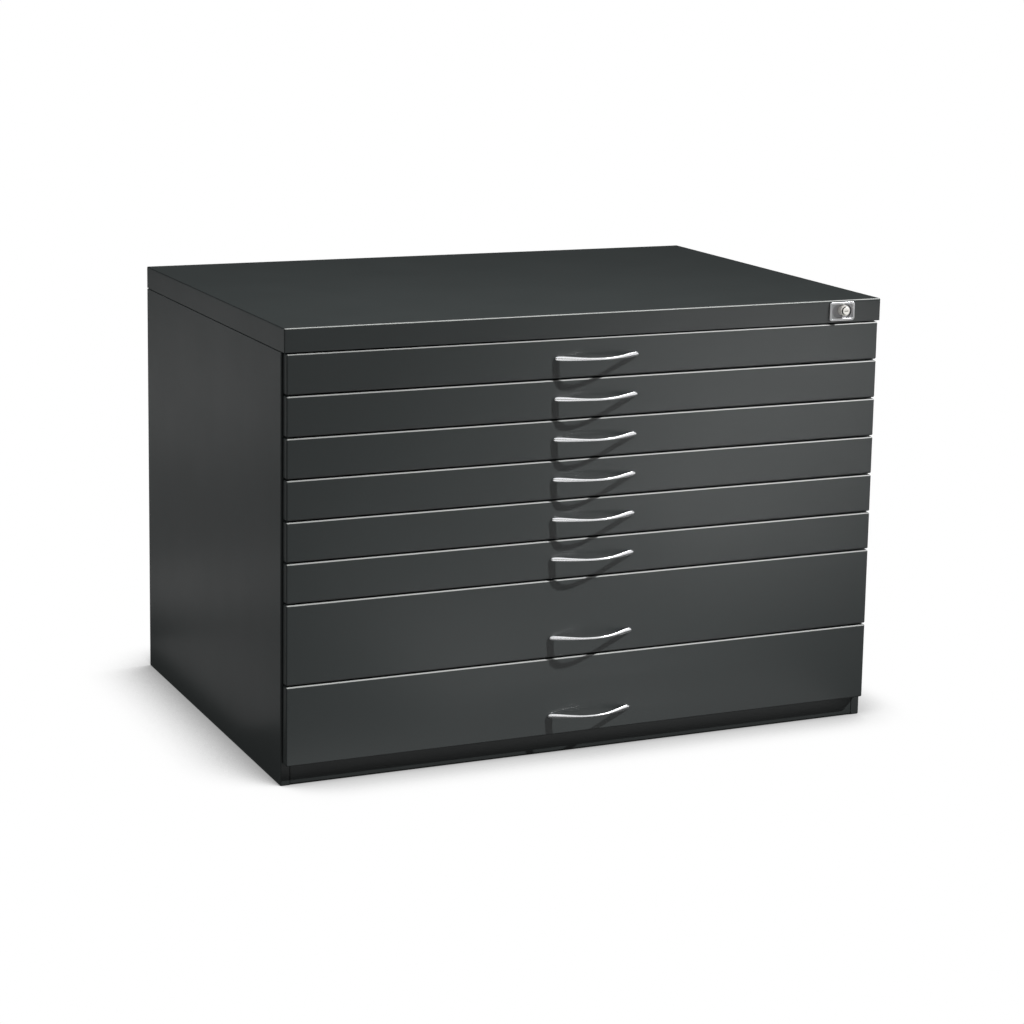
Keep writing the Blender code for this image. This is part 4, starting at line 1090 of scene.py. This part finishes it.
rounded = round_edges(FRAME_INNER_ROUND, FRAME_STEPS, rim)
print("edges of the frame that are rounded inside:", rounded)
smooth(plate, LOCK_ANGLE)
hand_over(plate, "cabinet", plate_chrome, "lock_chrome", "lock_plate")

# %% [markdown]
# The barrel is pushed in to lock and springs out when the key turns. It is a turned piece
# with a bore in front for the plug and a thin tail behind for the arm. A lathe would cut
# it from a bar. Here insets and extrusions do the same to the ends of a cylinder.

# %% Model the barrel
PLUG_RADIUS = 0.0065
PLUG_PLAY = 0.0003
PLUG_BORE = 0.020
TAIL_LENGTH = 0.004
TAIL_INSET = 0.005
EDGE_ROUND = 0.0007
EDGE_STEPS = 3

barrel = start_rod("push_barrel", barrel_axis, BARREL_RADIUS, barrel_low.y, barrel_high.y - TAIL_LENGTH)
pick("FACE", facing(BACK))
bpy.ops.mesh.inset(thickness=TAIL_INSET, use_even_offset=True)
extrude_by((0, TAIL_LENGTH, 0))
pick("FACE", facing(FRONT))
bpy.ops.mesh.inset(thickness=BARREL_RADIUS - PLUG_RADIUS - PLUG_PLAY, use_even_offset=True)
extrude_by((0, PLUG_BORE, 0))
round_edges(EDGE_ROUND / 2, EDGE_STEPS, at_depth(barrel_low.y))
smooth(barrel, LOCK_ANGLE)
hand_over(barrel, "lock_push", satin_nickel, "lock_chrome", "lock_barrel")

# %% [markdown]
# The plug is what the key turns. It stands out of the barrel, its edge is rounded, and its
# face lies a little deeper than its rim. The keyhole is a real slot, cut with a boolean, so
# it stays open from every side, and a painted shade makes it dark.

# %% Model the plug
KEYHOLE_HALF = (0.0038, 0.0007)
KEYHOLE_DEPTH = 0.007
KEYHOLE_END_ROUND = 0.9 * KEYHOLE_HALF[1]
KEYHOLE_END_STEPS = 4
FACE_RIM = 0.0012
FACE_SINK = 0.0002

plug = start_rod("key_plug", barrel_axis, PLUG_RADIUS, plug_low.y, plug_high.y)
round_edges(EDGE_ROUND, EDGE_STEPS, at_depth(plug_low.y))
pick("FACE", facing(FRONT))
bpy.ops.mesh.inset(thickness=FACE_RIM, use_even_offset=True)
extrude_by((0, FACE_SINK, 0))
bpy.ops.object.mode_set(mode="OBJECT")
axis_x, axis_z = barrel_axis
keyhole_low = (axis_x - KEYHOLE_HALF[0], plug_low.y - CUT_ROOM, axis_z - KEYHOLE_HALF[1])
keyhole_high = (axis_x + KEYHOLE_HALF[0], plug_low.y + KEYHOLE_DEPTH, axis_z + KEYHOLE_HALF[1])
keyhole = start_box("keyhole", keyhole_low, keyhole_high)
round_edges(KEYHOLE_END_ROUND, KEYHOLE_END_STEPS, along_y)
combine(plug, "DIFFERENCE", keyhole)
smooth(plug, LOCK_ANGLE)
hand_over(plug, "lock_key_plug", lock_steel, "lock_steel", "lock_plug")

# %% [markdown]
# ## What stays as it is
# The trays, the slides, the racks, the base and the locking bar are already right in the
# frame, so they only get their finishes.

# %% Finish the frame's own pieces
FRAME_FINISH = {"base_panel": carcass_coat, "top_front_rail": carcass_coat, "drawer_tray": tray_coat}
kept = 0
for name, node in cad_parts.items():
    finish = [coat for start, coat in FRAME_FINISH.items() if name.startswith(start)]
    node.data.materials.clear()
    node.data.materials.append(finish[0] if finish else zinc)
    kept += not node.hide_render
print("pieces of the frame that show:", kept)

# %% [markdown]
# ## Light for the chrome
# Now that the chrome pieces exist, the tent is told to shine on them alone, and the soft
# boxes are told to pass them by. The spot is kept to the drawer fronts.

# %% Share out the lamps
def lamp_group(name, pieces, state):
    """Collection of pieces that a lamp lights or leaves out."""
    group = bpy.data.collections.new(name)
    for piece in pieces:
        group.objects.link(piece)
    for member in group.collection_objects:
        member.light_linking.link_state = state
    return group


chrome = (handle_chrome, plate_chrome, satin_nickel, lock_steel)
pieces = [piece for piece in bpy.context.scene.objects if piece.type == "MESH"]
chrome_pieces = [piece for piece in pieces if any(slot.material in chrome for slot in piece.material_slots)]
fronts = [piece for piece in pieces if piece.name.startswith("front_")]
lit = lamp_group("lit_by_tent", chrome_pieces, "INCLUDE")
left_out = lamp_group("passed_by", chrome_pieces, "EXCLUDE")
spot.light_linking.receiver_collection = lamp_group("lit_by_spot", fronts, "INCLUDE")
for lamp in tent_lamps:
    lamp.light_linking.receiver_collection = lit
for lamp in paint_lamps:
    lamp.light_linking.receiver_collection = left_out
print("chrome pieces:", len(chrome_pieces), " fronts:", len(fronts))

# %% [markdown]
# ## The end
# The dressed cabinet has to fill the same box as the frame. At the end the selection is
# dropped.

# %% Finish
deselect_all()
